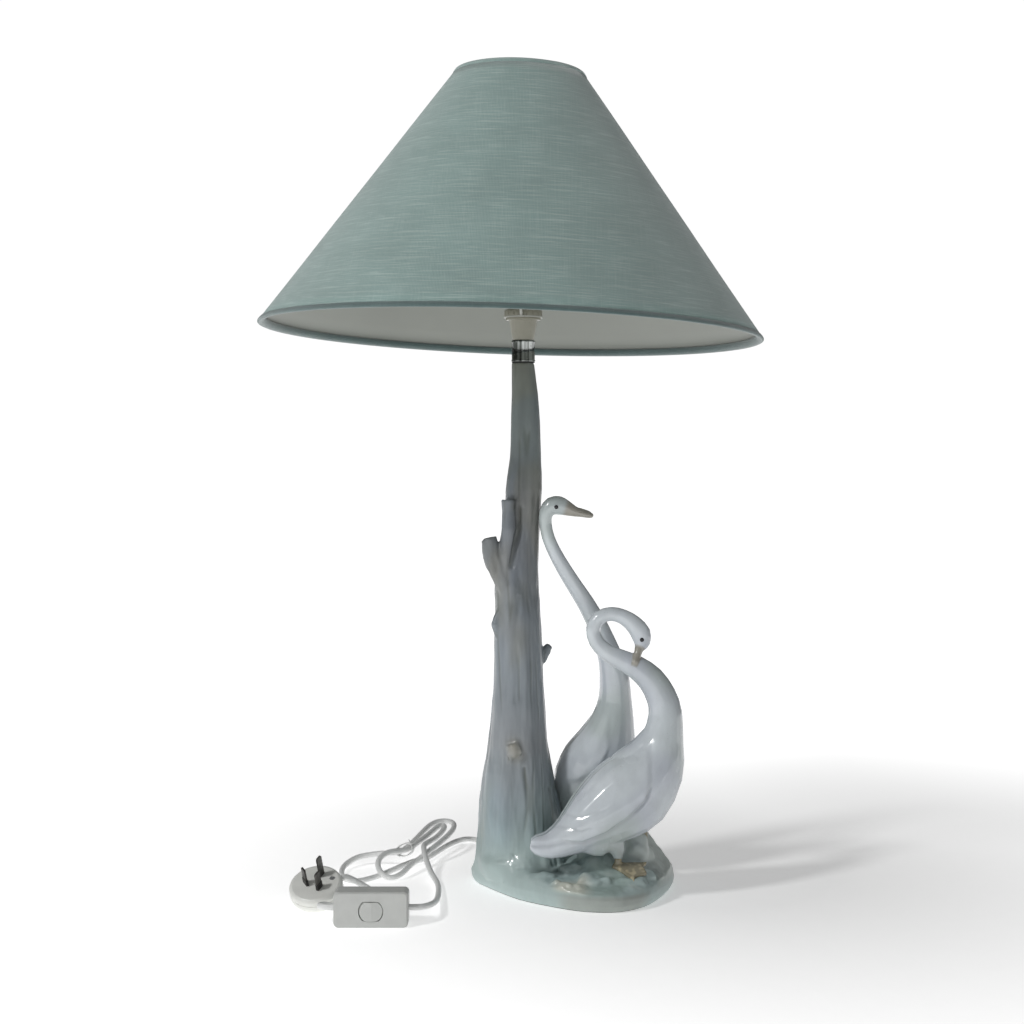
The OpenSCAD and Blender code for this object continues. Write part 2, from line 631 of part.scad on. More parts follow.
module switch_base() {
    color(white_plastic) on_edge() difference() {
        union() {
            difference() {
                rounded_block(switch_l, switch_w, split, 4);
                translate([0, 0, 1.8]) rounded_block(switch_l - 3.6, switch_w - 3.6, split, 2.4);
            }
            for (s = [-1, 1]) translate([s * screw_x, s * screw_y, 1.8]) cylinder(r = 2.6, h = split - 1.8);
            translate([-0.6, -3, 1.8]) cube([1.2, 6, 1.5]);
        }
        for (s = [-1, 1]) translate([s * screw_x, s * screw_y, -1]) {
            cylinder(r = 1.3, h = split + 2);
            cylinder(r = 2.2, h = 2.4);
        }
        cord_ports(split);
    }
}

module switch_cover() {
    color(white_plastic) on_edge() difference() {
        union() {
            difference() {
                translate([0, 0, split]) rounded_block(switch_l, switch_w, switch_d - split - 1.5, 4);
                translate([0, 0, split - 1])
                    rounded_block(switch_l - 3.6, switch_w - 3.6, switch_d - split - 0.8, 2.4);
            }
            translate([0, 0, switch_d - 1.8]) rounded_block(switch_l - 0.8, switch_w - 0.8, 1.2, 3.8);
            translate([0, 0, switch_d - 0.6]) rounded_block(switch_l - 2.4, switch_w - 2.4, 0.6, 3.2);
            for (s = [-1, 1]) {
                translate([s * screw_x, s * screw_y, split]) cylinder(r = 2.6, h = switch_d - split - 1);
                translate([-2.5, s * 9.3 - 1.1 + hinge_y, hinge_z - 2.4]) cube([5, 2.2, 6.8]);
            }
        }
        translate([0, hinge_y, switch_d - 3]) intersection() {
            cylinder(r = 10.25, h = 6);
            translate([-12, -7.9, -1]) cube([24, 15.8, 8]);
        }
        translate([0, hinge_y - 10.8, hinge_z]) rotate([-90, 0, 0]) cylinder(r = 1.05, h = 21.6);
        for (s = [-1, 1]) translate([s * screw_x, s * screw_y, split - 1]) cylinder(r = 0.95, h = 7);
        cord_ports(split);
    }
}

module rocking(h, a) {
    translate([0, hinge_y, h]) rotate([0, a, 0]) children();
}

module switch_rocker() {
    color([0.93, 0.93, 0.91]) on_edge() rocking(hinge_z, rocker_tilt) difference() {
        intersection() {
            sphere(r = 10.9);
            translate([0, 7.55, 0]) rotate([90, 0, 0]) linear_extrude(15.1) polygon([[-12, -1],
                [-3, -3], [3, -3], [12, -1], [12, 5.9], [0, 7.2], [-12, 5.9]]);
        }
        rotate([-90, 0, 0]) translate([0, 0, -9]) cylinder(r = 1.06, h = 18);
        translate([0, 0, -4]) cylinder(r = 1.2, h = 2.5);
    }
}

module rocker_pin() {
    color(steel) on_edge() translate([0, hinge_y - 10, hinge_z]) rotate([-90, 0, 0])
        cylinder(r = 1, h = 20);
}

module rocker_tip() {
    color(brass) on_edge() rocking(hinge_z, rocker_tilt) {
        translate([0, 0, -8.1]) cylinder(r = 1.15, h = 6.6);
        translate([0, 0, -8.1]) sphere(r = 1.15);
    }
}

module contact_seesaw() {
    color(brass) on_edge() rocking(4, -rocker_tilt) {
        translate([-9.5, -2.5, 0]) cube([19, 5, 0.6]);
        for (s = [-1, 1]) translate([s * 8, 0, -0.6]) cylinder(r = 1.3, h = 0.6);
        rotate([90, 0, 0]) cylinder(r = 0.5, h = 5, center = true);
    }
}

module switch_terminals() {
    color(brass) on_edge() for (s = [-1, 1]) {
        translate([s * 12 - 6, -3.7, 1.8]) cube([12, 5, 0.65]);
        translate([s * 17 - 2.5, -4.2, 1.8]) difference() {
            cube([5, 6, 5.4]);
            translate([-1, 3, 2.8]) rotate([0, 90, 0]) cylinder(r = 1.2, h = 7);
        }
    }
}

module switch_screws() {
    color(steel) on_edge() for (s = [-1, 1]) translate([s * screw_x, s * screw_y, 0.5]) difference() {
        union() {
            cylinder(r = 2.1, h = 0.9);
            cylinder(r = 0.9, h = split + 4);
        }
        translate([-0.3, -3, -1]) cube([0.6, 6, 1.4]);
    }
}

// Plug, drawn face up and then laid on its back

module on_back() {
    translate(plug_at) rotate(plug_turn) children();
}
face = plug_t;
plug_split = plug_t - 6;
screw_at = [14.5, 4];

module plug_cover() {
    corner = [for (k = [0:6]) [plug_r - plug_round + plug_round * sin(15 * k),
        plug_round - plug_round * cos(15 * k)]];
    color(white_plastic) on_back() difference() {
        rotate_extrude() polygon(concat([[0, 0]], corner, [[plug_r, plug_split],
            [plug_r - 2.2, plug_split], [plug_r - 2.2, 6.5], [plug_r - 6, 2.4], [0, 2.4]]));
        rotate([0, 0, plug_exit]) translate([plug_r - 5, 0, plug_exit_z]) rotate([0, 90, 0])
            translate([0, 0, -4]) cylinder(r = cord_r + 0.2, h = 14);
    }
}

module plug_base() {
    color(white_plastic) on_back() difference() {
        union() {
            rotate_extrude() polygon([[0, plug_split], [plug_r - 0.6, plug_split],
                [plug_r - 0.6, plug_split + 0.5], [plug_r, plug_split + 0.6], [plug_r, face - 3],
                [plug_r - 1, face - 1], [plug_r - 3, face], [0, face]]);
            translate([0, 0, face]) cylinder(r1 = 2.2, r2 = 1.8, h = 0.8);
        }
        for (p = blade_spots) blade_place(p) translate([-3.25, -0.95, -4]) cube([6.5, 1.9, 6]);
        for (p = blade_spots) blade_place(p) translate([-2.1, -0.8, -12]) cube([4.2, 1.6, 12]);
        translate([screw_at[0], screw_at[1], plug_split - 1]) cylinder(r = 1.2, h = 12);
        translate([screw_at[0], screw_at[1], face - 1.6]) cylinder(r = 2.5, h = 2);
    }
}

blade_spots = [[-7.92, 0, 30], [3.96, -6.86, -30], [5.15, 8.93, 60]];
module blade_place(p) {
    translate([p[0], p[1], face]) rotate([0, 0, p[2] + (p[2] == 60 ? 0 : 90)]) children();
}

module blade(l) {
    translate([-2, -0.7, -8]) cube([4, 1.4, 8]);
    translate([-3.17, -0.81, -3.9]) cube([6.34, 1.62, 3.9 + l - 1]);
    translate([0, 0.81, l - 1]) rotate([90, 0, 0]) linear_extrude(1.62)
        polygon([[-3.17, 0], [3.17, 0], [2.3, 1], [-2.3, 1]]);
}

module plug_blades() {
    color([0.30, 0.29, 0.28]) on_back() for (k = [0, 1]) blade_place(blade_spots[k]) blade(blade_l);
}

module earth_blade() {
    color([0.32, 0.31, 0.30]) on_back() blade_place(blade_spots[2]) blade(blade_l + 3);
}

module pin_sleeves() {
    color([0.20, 0.20, 0.20]) on_back() for (k = [0, 1]) blade_place(blade_spots[k])
        translate([0, 0, 0.02]) difference() {
            translate([-3.6, -1.2, 0]) cube([7.2, 2.4, 6]);
            translate([-3.2, -0.84, -1]) cube([6.4, 1.68, 8]);
        }
}

module plug_screw() {
    color(steel) on_back() translate([screw_at[0], screw_at[1], face - 1.55]) difference() {
        union() {
            cylinder(r = 2.3, h = 1.2);
            translate([0, 0, -6]) cylinder(r = 1.1, h = 6.5);
        }
        translate([-0.3, -3, 0.7]) cube([0.6, 6, 1]);
    }
}

ground_base();
tree_trunk();
tall_goose();
preening_goose();
rear_goose_legs();
front_goose_legs();
felt_pad();
stem_rod();
rod_washer();
rod_nut();
cord_grommet();
neck_gasket();
neck_collar();
holder_cap();
holder_body();
contact_block();
contact_plungers();
plunger_springs();
holder_terminals();
terminal_screws();
core_wires();
shade_ring();
carrier_base_ring();
carrier_wires();
carrier_seat();
shade_fabric();
shade_lining();
shade_top_ring();
shade_bottom_ring();
shade_spider();
shade_top_trim();
shade_bottom_trim();
bulb_glass();
bulb_cap();
bulb_contacts();
bulb_mount();
bulb_filament();
lamp_cord();
plug_cord();
cord_tie();
switch_base();
switch_cover();
switch_rocker();
rocker_pin();
rocker_tip();
contact_seesaw();
switch_terminals();
switch_screws();
plug_cover();
plug_base();
plug_blades();
earth_blade();
pin_sleeves();
plug_screw();
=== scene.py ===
"""Looks of a figural table lamp: glazed porcelain tree and geese, linen shade, flex, switch and plug.

Every length is in metres and in the CAD frame: z up along the tube, the geese towards +x and the front
towards -y.
"""
import json
import math

import bmesh
import bpy
import numpy as np
from mathutils import Matrix, Vector, noise
from mathutils.bvhtree import BVHTree


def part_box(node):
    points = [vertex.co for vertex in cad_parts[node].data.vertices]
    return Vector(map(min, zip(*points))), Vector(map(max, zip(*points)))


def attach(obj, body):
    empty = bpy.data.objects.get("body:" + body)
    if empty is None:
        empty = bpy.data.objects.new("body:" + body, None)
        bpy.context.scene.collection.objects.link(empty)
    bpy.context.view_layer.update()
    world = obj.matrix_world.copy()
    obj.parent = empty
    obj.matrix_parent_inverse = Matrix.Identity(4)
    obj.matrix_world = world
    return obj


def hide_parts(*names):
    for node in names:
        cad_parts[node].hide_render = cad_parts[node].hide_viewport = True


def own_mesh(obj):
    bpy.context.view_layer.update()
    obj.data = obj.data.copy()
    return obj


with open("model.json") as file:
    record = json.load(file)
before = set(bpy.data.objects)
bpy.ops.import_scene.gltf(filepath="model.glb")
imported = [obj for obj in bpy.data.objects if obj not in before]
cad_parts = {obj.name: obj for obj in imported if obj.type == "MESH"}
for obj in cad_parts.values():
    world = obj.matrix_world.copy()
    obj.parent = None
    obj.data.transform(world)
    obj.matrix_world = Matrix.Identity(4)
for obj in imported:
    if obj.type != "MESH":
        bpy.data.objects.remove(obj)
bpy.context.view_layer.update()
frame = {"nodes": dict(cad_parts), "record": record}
NODES = frame["nodes"]
MM = 0.001
UP = Vector((0, 0, 1))


# Mesh helpers


def add_object(name, mesh):
    piece = bpy.data.objects.new(name, mesh)
    bpy.context.scene.collection.objects.link(piece)
    return piece


def piece_from(name, points, faces):
    mesh = bpy.data.meshes.new(name)
    mesh.from_pydata([tuple(p) for p in points], [], faces)
    mesh.update()
    bm = bmesh.new()
    bm.from_mesh(mesh)
    bmesh.ops.recalc_face_normals(bm, faces=bm.faces)
    bm.to_mesh(mesh)
    bm.free()
    mesh.polygons.foreach_set("use_smooth", [True] * len(mesh.polygons))
    return add_object(name, mesh)


def joined(name, nodes, extras=()):
    """One new piece from copies of CAD nodes and of loose helper pieces, which are used up."""
    bm = bmesh.new()
    for mesh in [NODES[n].data for n in nodes] + [e.data for e in extras]:
        bm.from_mesh(mesh)
    mesh = bpy.data.meshes.new(name)
    bm.to_mesh(mesh)
    bm.free()
    for extra in extras:
        bpy.data.objects.remove(extra)
    mesh.materials.clear()
    return add_object(name, mesh)


def bake_modifiers(piece):
    """Applies the modifiers to the piece's own mesh."""
    depsgraph = bpy.context.evaluated_depsgraph_get()
    mesh = bpy.data.meshes.new_from_object(piece.evaluated_get(depsgraph))
    piece.modifiers.clear()
    old = piece.data
    piece.data = mesh
    bpy.data.meshes.remove(old)


def fuse(piece, voxel, smoothing):
    """Makes one closed skin of everything in the piece, as glaze does, and rounds its edges."""
    remesh = piece.modifiers.new("fuse", "REMESH")
    remesh.mode = "VOXEL"
    remesh.voxel_size = voxel
    remesh.use_smooth_shade = True
    smooth = piece.modifiers.new("round", "SMOOTH")
    smooth.factor = 0.5
    smooth.iterations = smoothing
    bake_modifiers(piece)


def read_points(piece):
    co = np.empty(len(piece.data.vertices) * 3, np.float32)
    piece.data.vertices.foreach_get("co", co)
    return co.reshape(-1, 3).astype(float)


def read_normals(piece):
    no = np.empty(len(piece.data.vertices) * 3, np.float32)
    piece.data.vertices.foreach_get("normal", no)
    return no.reshape(-1, 3).astype(float)


def write_points(piece, points):
    piece.data.vertices.foreach_set("co", points.astype(np.float32).ravel())
    piece.data.update()


def store_colour(piece, name, rgb):
    attribute = piece.data.attributes.new(name, "FLOAT_COLOR", "POINT")
    rgba = np.ones((len(rgb), 4), np.float32)
    rgba[:, :3] = rgb
    attribute.data.foreach_set("color", rgba.ravel())


def store_vector(piece, name, vectors):
    attribute = piece.data.attributes.new(name, "FLOAT_VECTOR", "POINT")
    attribute.data.foreach_set("vector", vectors.astype(np.float32).ravel())


def step(low, high, x):
    """Smooth step from 0 at low to 1 at high."""
    t = np.clip((x - low) / (high - low), 0, 1)
    return t * t * (3 - 2 * t)


def noise_field(points, scale):
    """Perlin noise, about -1 to 1, at points times a scale per axis (1 / m)."""
    q = points * np.array(scale)
    return np.array([noise.noise(Vector(p)) for p in q])


def mix(a, b, t):
    return a + (b - a) * t[:, None]


def tube(name, centres, radii, sides=20, squash=1.0):
    """A closed tube of changing radius along a line of points."""
    centres = [Vector(c) for c in centres]
    points = []
    side = None
    for i, c in enumerate(centres):
        ahead = (centres[min(i + 1, len(centres) - 1)] - centres[max(i - 1, 0)]).normalized()
        side = ahead.orthogonal() if side is None else side - ahead * side.dot(ahead)
        side.normalize()
        other = ahead.cross(side)
        for k in range(sides):
            a = 2 * math.pi * k / sides
            points.append(c + radii[i] * (math.cos(a) * side + squash * math.sin(a) * other))
    faces = []
    for i in range(len(centres) - 1):
        for k in range(sides):
            n = (k + 1) % sides
            faces.append((i * sides + k, i * sides + n, (i + 1) * sides + n, (i + 1) * sides + k))
    faces.append(tuple(range(sides))[::-1])
    faces.append(tuple(range((len(centres) - 1) * sides, len(centres) * sides)))
    return piece_from(name, points, faces)


def spun(name, profile, segments, place):
    """A closed solid turned from an open profile of (radius, height) that starts and ends on the axis."""
    low, high = profile[0][1], profile[-1][1]
    points = [place @ Vector((0, 0, low)), place @ Vector((0, 0, high))]
    inner = profile[1:-1]
    for k in range(segments):
        a = 2 * math.pi * k / segments
        points += [place @ Vector((r * math.cos(a), r * math.sin(a), h)) for r, h in inner]
    m = len(inner)
    faces = []
    for k in range(segments):
        here, there = 2 + k * m, 2 + (k + 1) % segments * m
        faces.append((0, there, here))
        faces += [(here + j, there + j, there + j + 1, here + j + 1) for j in range(m - 1)]
        faces.append((1, here + m - 1, there + m - 1))
    return piece_from(name, points, faces)


# Materials


def linear(r, g, b):
    """Scene-linear colour from a 0-255 display colour."""
    return tuple(((c / 255 + 0.055) / 1.055) ** 2.4 if c > 10 else c / 255 / 12.92 for c in (r, g, b))


class Nodes:
    """Short calls for building one node material."""

    def __init__(self, name):
        self.material = bpy.data.materials.new(name)
        self.material.use_nodes = True
        self.tree = self.material.node_tree
        self.bsdf = self.tree.nodes["Principled BSDF"]

    def set(self, **values):
        for key, value in values.items():
            self.link(value, self.bsdf.inputs[key.replace("_", " ")])

    def link(self, value, socket):
        """Feeds a socket from another one or with a plain value."""
        if isinstance(value, bpy.types.NodeSocket):
            self.tree.links.new(value, socket)
        elif socket.type == "RGBA":
            socket.default_value = (*value, 1)
        else:
            socket.default_value = value

    def attribute(self, name, output="Color"):
        node = self.tree.nodes.new("ShaderNodeAttribute")
        node.attribute_name = name
        return node.outputs[output]

    def place(self, scale, source=None):
        """Object coordinates, or another vector, times a scale per axis."""
        if source is None:
            source = self.tree.nodes.new("ShaderNodeTexCoord").outputs["Object"]
        node = self.tree.nodes.new("ShaderNodeMapping")
        node.inputs["Scale"].default_value = scale
        self.tree.links.new(source, node.inputs["Vector"])
        return node.outputs["Vector"]

    def distance(self, centre):
        """Distance of the shaded point from a place in the piece's own coordinates."""
        node = self.tree.nodes.new("ShaderNodeVectorMath")
        node.operation = "DISTANCE"
        node.inputs[1].default_value = centre
        self.tree.links.new(self.tree.nodes.new("ShaderNodeTexCoord").outputs["Object"], node.inputs[0])
        return node.outputs["Value"]

    def noise(self, vector, scale=1.0, detail=3.0, rough=0.5):
        node = self.tree.nodes.new("ShaderNodeTexNoise")
        node.inputs["Scale"].default_value = scale
        node.inputs["Detail"].default_value = detail
        node.inputs["Roughness"].default_value = rough
        self.tree.links.new(vector, node.inputs["Vector"])
        return node.outputs["Fac"]

    def wave(self, vector, scale, direction, distortion=0.0):
        node = self.tree.nodes.new("ShaderNodeTexWave")
        node.bands_direction = direction
        node.inputs["Scale"].default_value = scale
        node.inputs["Distortion"].default_value = distortion
        self.tree.links.new(vector, node.inputs["Vector"])
        return node.outputs["Fac"]

    def remap(self, value, low, high, to_low, to_high):
        node = self.tree.nodes.new("ShaderNodeMapRange")
        node.inputs["From Min"].default_value = low
        node.inputs["From Max"].default_value = high
        node.inputs["To Min"].default_value = to_low
        node.inputs["To Max"].default_value = to_high
        self.tree.links.new(value, node.inputs["Value"])
        return node.outputs["Result"]

    def math(self, kind, a, b):
        node = self.tree.nodes.new("ShaderNodeMath")
        node.operation = kind
        self.link(a, node.inputs[0])
        self.link(b, node.inputs[1])
        return node.outputs[0]

    def blend(self, factor, a, b, kind="MIX"):
        node = self.tree.nodes.new("ShaderNodeMix")
        node.data_type = "RGBA"
        node.blend_type = kind
        self.link(factor, node.inputs["Factor"])
        self.link(a, node.inputs[6])
        self.link(b, node.inputs[7])
        return node.outputs[2]

    def bump(self, height, distance, strength=1.0):
        node = self.tree.nodes.new("ShaderNodeBump")
        node.inputs["Distance"].default_value = distance
        node.inputs["Strength"].default_value = strength
        self.tree.links.new(height, node.inputs["Height"])
        self.tree.links.new(node.outputs["Normal"], self.bsdf.inputs["Normal"])
        return self


def glaze(name, rough, coat):
    """Painted porcelain under a clear glaze. The paint is a colour attribute that each piece works out; on
    the tree, ground and geese it also holds painted shade and painted light.
    """
    m = Nodes(name)
    mottle = m.noise(m.place((120, 120, 60)), 1, 4)
    shade = m.remap(mottle, 0.3, 0.7, 0.95, 1.04)
    paint = m.blend(1.0, m.attribute("paint"), shade, "MULTIPLY")
    speck = m.remap(m.noise(m.place((900, 900, 900)), 1, 2), 0.70, 0.76, 0, 0.35)
    paint = m.blend(speck, paint, linear(120, 116, 104))
    sheen = m.remap(m.noise(m.place((45, 45, 45)), 1, 3), 0.3, 0.7, rough, rough + 0.1)
    m.set(Base_Color=paint, Roughness=sheen, Coat_Weight=coat, Coat_Roughness=0.06, IOR=1.5)
    m.set(Subsurface_Weight=0.08, Subsurface_Radius=(0.004, 0.004, 0.004), Subsurface_Scale=1.0)
    ripple = m.noise(m.place((60, 60, 60)), 1, 2)
    return m.bump(ripple, 0.0006, 0.35).material


def linen(name, colour, slub, thread):
    """Woven cloth with pale slubs along the weft. The flat attribute is the cloth's own plane in metres."""
    m = Nodes(name)
    flat = m.attribute("flat", "Vector")
    weft = m.remap(m.noise(m.place((40, 900, 1), flat), 1, 3), 0.50, 0.80, 0, 0.5)
    long_weft = m.remap(m.noise(m.place((16, 420, 1), flat), 1, 2), 0.55, 0.80, 0, 0.4)
    warp = m.remap(m.noise(m.place((900, 22, 1), flat), 1, 2), 0.5, 0.8, 0, 0.14)
    dark = m.remap(m.noise(m.place((160, 1100, 1), flat), 1, 2), 0.60, 0.75, 0, 0.35)
    cloud = m.remap(m.noise(m.place((14, 22, 1), flat), 1, 3), 0.3, 0.7, 0.93, 1.07)
    base = m.blend(weft, colour, slub)
    base = m.blend(long_weft, base, slub)
    base = m.blend(warp, base, slub)
    base = m.blend(dark, base, tuple(c * 0.62 for c in colour))
    base = m.blend(1.0, base, cloud, "MULTIPLY")
    rows = m.wave(m.place((1, 1, 1), flat), thread, "Y", 1.2)
    columns = m.wave(m.place((1, 1, 1), flat), thread, "X", 1.2)
    height = m.math("ADD", m.math("MULTIPLY", rows, columns), m.math("MULTIPLY", weft, 0.9))
    m.set(Base_Color=base, Roughness=0.92, Sheen_Weight=0.5, Sheen_Roughness=0.55, IOR=1.35)
    return m.bump(height, 0.00018, 0.8).material


def plastic(name, colour, rough, mould_grain=0.15):
    m = Nodes(name)
    tone = m.remap(m.noise(m.place((90, 90, 90)), 1, 3), 0.3, 0.7, 0.96, 1.03)
    grime = m.remap(m.noise(m.place((35, 35, 35)), 1, 4), 0.55, 0.8, 0, 0.22)
    base = m.blend(1.0, colour, tone, "MULTIPLY")
    base = m.blend(grime, base, tuple(c * 0.78 for c in colour))
    gloss = m.remap(m.noise(m.place((260, 260, 260)), 1, 3), 0.3, 0.7, rough - 0.05, rough + 0.08)
    m.set(Base_Color=base, Roughness=gloss, IOR=1.5)
    return m.bump(m.noise(m.place((1800, 1800, 1800)), 1, 2), 0.0001, mould_grain).material


def metal(name, colour, rough, streak=(900, 900, 60), tarnish=0.3):
    m = Nodes(name)
    lines = m.noise(m.place(streak), 1, 3)
    spots = m.remap(m.noise(m.place((160, 160, 160)), 1, 4), 0.5, 0.8, 0, tarnish)
    base = m.blend(spots, colour, tuple(c * 0.45 for c in colour))
    m.set(Base_Color=base, Metallic=1.0, Roughness=m.remap(lines, 0.3, 0.7, rough * 0.7, rough * 1.4))
    return m.bump(lines, 0.00004, 0.3).material


def worn_chrome_painted_reflections():
    """Old chrome plate with dull spots, and painted reflections: dark and bright bands along its length in
    the base colour stand in for the room it mirrors.
    """
    m = Nodes("collar_chrome")
    # painted reflections: dark and bright bands laid into the chrome's base colour
    painted_reflection_bands = m.remap(m.noise(m.place((330, 330, 5)), 1, 2), 0.38, 0.62, 0, 1)
    spots = m.remap(m.noise(m.place((500, 500, 500)), 1, 4), 0.55, 0.75, 0, 0.6)
    base = m.blend(painted_reflection_bands, (0.05, 0.055, 0.05), (0.42, 0.44, 0.43))
    m.set(Base_Color=m.blend(spots, base, (0.16, 0.16, 0.15)), Metallic=1.0)
    m.set(Roughness=m.remap(spots, 0, 0.6, 0.10, 0.42))
    return m.bump(m.noise(m.place((700, 700, 20)), 1, 2), 0.00006, 0.4).material


def felt():
    m = Nodes("felt")
    fibres = m.noise(m.place((2600, 2600, 2600)), 1, 4, 0.7)
    tone = m.remap(m.noise(m.place((70, 70, 70)), 1, 3), 0.3, 0.7, 0.8, 1.15)
    base = m.blend(m.remap(fibres, 0.35, 0.65, 0, 1), linear(150, 155, 152), linear(186, 190, 187))
    m.set(Base_Color=m.blend(1.0, base, tone, "MULTIPLY"), Roughness=1.0, Sheen_Weight=0.4)
    return m.bump(fibres, 0.0004, 0.8).material


def lining_sheet_painted_shade():
    m = Nodes("lining_sheet_painted_shade")
    tone = m.remap(m.noise(m.place((12, 12, 12)), 1, 3), 0.3, 0.7, 0.96, 1.02)
    weave = m.noise(m.place((1500, 1500, 1500)), 1, 2)
    # painted shade: the white lining gets a grey base colour that stands in for the shade inside the
    # lampshade
    m.set(Base_Color=m.blend(1.0, linear(147, 150, 144), tone, "MULTIPLY"), Roughness=0.55)
    return m.bump(weave, 0.00006, 0.4).material


def glass(name, colour, rough):
    m = Nodes(name)
    haze = m.remap(m.noise(m.place((120, 120, 120)), 1, 3), 0.3, 0.7, rough, rough + 0.12)
    m.set(Base_Color=colour, Roughness=haze, Transmission_Weight=0.75, IOR=1.45)
    return m.bump(m.noise(m.place((700, 700, 700)), 1, 2), 0.00005, 0.2).material


def make_materials():
    return {
        "glaze": glaze("glazed_porcelain", 0.18, 0.7),
        "bark_glaze": glaze("glazed_bark", 0.36, 0.22),
        "linen": linen("linen", linear(131, 155, 151), linear(192, 208, 202), 260),
        "trim": linen("trim_linen", linear(75, 95, 94), linear(105, 125, 124), 300),
        "felt": felt(),
        "white_lining": lining_sheet_painted_shade(),
        "steel": metal("steel", (0.55, 0.56, 0.58), 0.3),
        "brass": metal("brass", (0.70, 0.52, 0.25), 0.28),
        "dark_pin": metal("dull_pin", (0.13, 0.125, 0.12), 0.42, (600, 600, 600), 0.6),
        "cap_metal": metal("cap_metal", (0.70, 0.70, 0.70), 0.35),
        "collar_chrome": worn_chrome_painted_reflections(),
        "dark_rubber": plastic("dark_rubber", linear(34, 34, 34), 0.6, 0.5),
        "dark_plastic": plastic("dark_plastic", linear(26, 26, 26), 0.35),
        # painted shade: the cream lampholder gets a dark grey-brown base colour that stands in for the shade
        # under the lampshade
        "holder_cream": plastic("holder_cream", linear(130, 129, 116), 0.32),
        "white_plastic": plastic("white_plastic", linear(204, 206, 203), 0.34),
        "plug_plastic": plastic("plug_plastic", linear(236, 237, 232), 0.34),
        "steatite": plastic("steatite", linear(216, 212, 200), 0.55, 0.6),
        "coated_wire": plastic("coated_wire", linear(164, 165, 158), 0.4, 0.4),
        "cord_white": plastic("flex_sheath", linear(236, 237, 236), 0.42, 0.35),
        "core_insulation": plastic("core_insulation", linear(120, 76, 44), 0.4),
        "eye_black": plastic("eye_black", linear(22, 22, 26), 0.15, 0.05),
        "frosted_glass": glass("frosted_glass", (0.93, 0.93, 0.91), 0.35),
        "clear_glass": glass("clear_glass", (0.93, 0.95, 0.95), 0.04),
    }


MATERIALS = make_materials()


def dress(piece, material, body):
    piece.data.materials.clear()
    piece.data.materials.append(MATERIALS[material])
    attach(piece, body)
    return piece


# Porcelain: tree and ground

TREE_VOXEL = 1.1 * MM
GOOSE_VOXEL = 1.05 * MM


def slice_trunk(count=24):
    """Heights, centre x and radius of the trunk, read from its CAD solid."""
    points = np.array([v.co for v in NODES["tree_trunk"].data.vertices])
    heights = np.linspace(points[:, 2].min(), points[:, 2].max(), count)
    centres, radii = [], []
    for z in heights:
        near = points[np.abs(points[:, 2] - z) < 12 * MM]
        reach = np.abs(near[:, 1]).max()
        centres.append(near[np.abs(near[:, 1]) > 0.75 * reach][:, 0].mean())
        radii.append(reach)
    return heights, np.array(centres), np.array(radii)


TRUNK_Z, TRUNK_X, TRUNK_R = slice_trunk()


def lump(name, centre, size, seed, rough=0.22):
    """A stone: a ball pushed in and out by noise and squashed to its size."""
    bm = bmesh.new()
    bmesh.ops.create_icosphere(bm, subdivisions=4, radius=1)
    for v in bm.verts:
        v.co *= 1 + rough * noise.noise(v.co * 1.3 + Vector((seed, 0, 0)))
        v.co = Vector(centre) + Vector([c * s for c, s in zip(v.co, size)])
    mesh = bpy.data.meshes.new(name)
    bm.to_mesh(mesh)
    bm.free()
    return add_object(name, mesh)


def ground_height(x, y):
    """Top of the CAD ground at a place."""
    tree = GROUND_TREE
    hit = tree.ray_cast(Vector((x, y, 1)), -UP)
    return hit[0].z if hit[0] else 0.0


def solid_tree(node):
    bm = bmesh.new()
    bm.from_mesh(NODES[node].data)
    tree = BVHTree.FromBMesh(bm)
    bm.free()
    return tree


GROUND_TREE = solid_tree("ground_base")


def limbs():
    """The cut limb that runs up the front left of the trunk, its side branch and the small stubs."""
    upper = [(-15, -11, 280), (-14.5, -14, 300), (-12.5, -15.5, 322), (-13, -15, 338), (-13, -14.5, 348)]
    branch = [(-13, -9, 270), (-20, -11, 284), (-27, -13, 300), (-30, -13.5, 314.5)]
    stub = [(14, 4, 204), (19, 5, 210), (23.5, 6, 216.5)]
    knob = [(-22, -8, 226), (-24.5, -9, 237), (-21, -9, 248)]
    pieces = []
    for name, line, radii in (
        ("upper", upper, (6.5, 6.8, 6.6, 5.7, 6.6)),
        ("branch", branch, (7.5, 7.4, 6.6, 6.4)),
        ("stub", stub, (6.0, 4.6, 3.6)),
        ("knob", knob, (4.0, 4.8, 3.6)),
    ):
        pieces.append(tube(name, [Vector(p) * MM for p in line], [r * MM for r in radii]))
    pieces.append(lump("bark_curl", Vector((-8, -27, 129)) * MM, Vector((7, 4, 5.5)) * MM, 3, 0.5))
    pieces.append(lump("bark_lip", Vector((-12, -26.5, 124)) * MM, Vector((3, 3, 6)) * MM, 5, 0.4))
    return pieces


STONES = (
    # x, y, size along x, y and z
    (37, -68, 8, 6, 5),
    (29, -62, 5, 5, 4),
    (48, -72, 6, 5, 3.5),
    (58, -58, 13, 10, 7),
    (70, -62, 8, 6, 6),
    (92, -62, 15, 7, 4),
    (41, -38, 10, 9, 8),
    (106, -48, 9, 8, 5),
    (18, -47, 9, 8, 6),
    (62, -20, 17, 12, 10),
    (80, -14, 16, 13, 13),
    (99, -18, 15, 12, 16),
    (118, 34, 9, 9, 6),
    (64, 60, 12, 9, 6),
    (30, 76, 10, 7, 5),
    (4, -42, 7, 5, 4),
)


def stones():
    pieces = []
    for i, (x, y, a, b, c) in enumerate(STONES):
        z = ground_height(x * MM, y * MM)
        centre = Vector((x * MM, y * MM, z - 0.25 * c * MM))
        pieces.append(lump("stone", centre, Vector((a, b, c)) * MM, 11 * i + 2, 0.35))
    return pieces


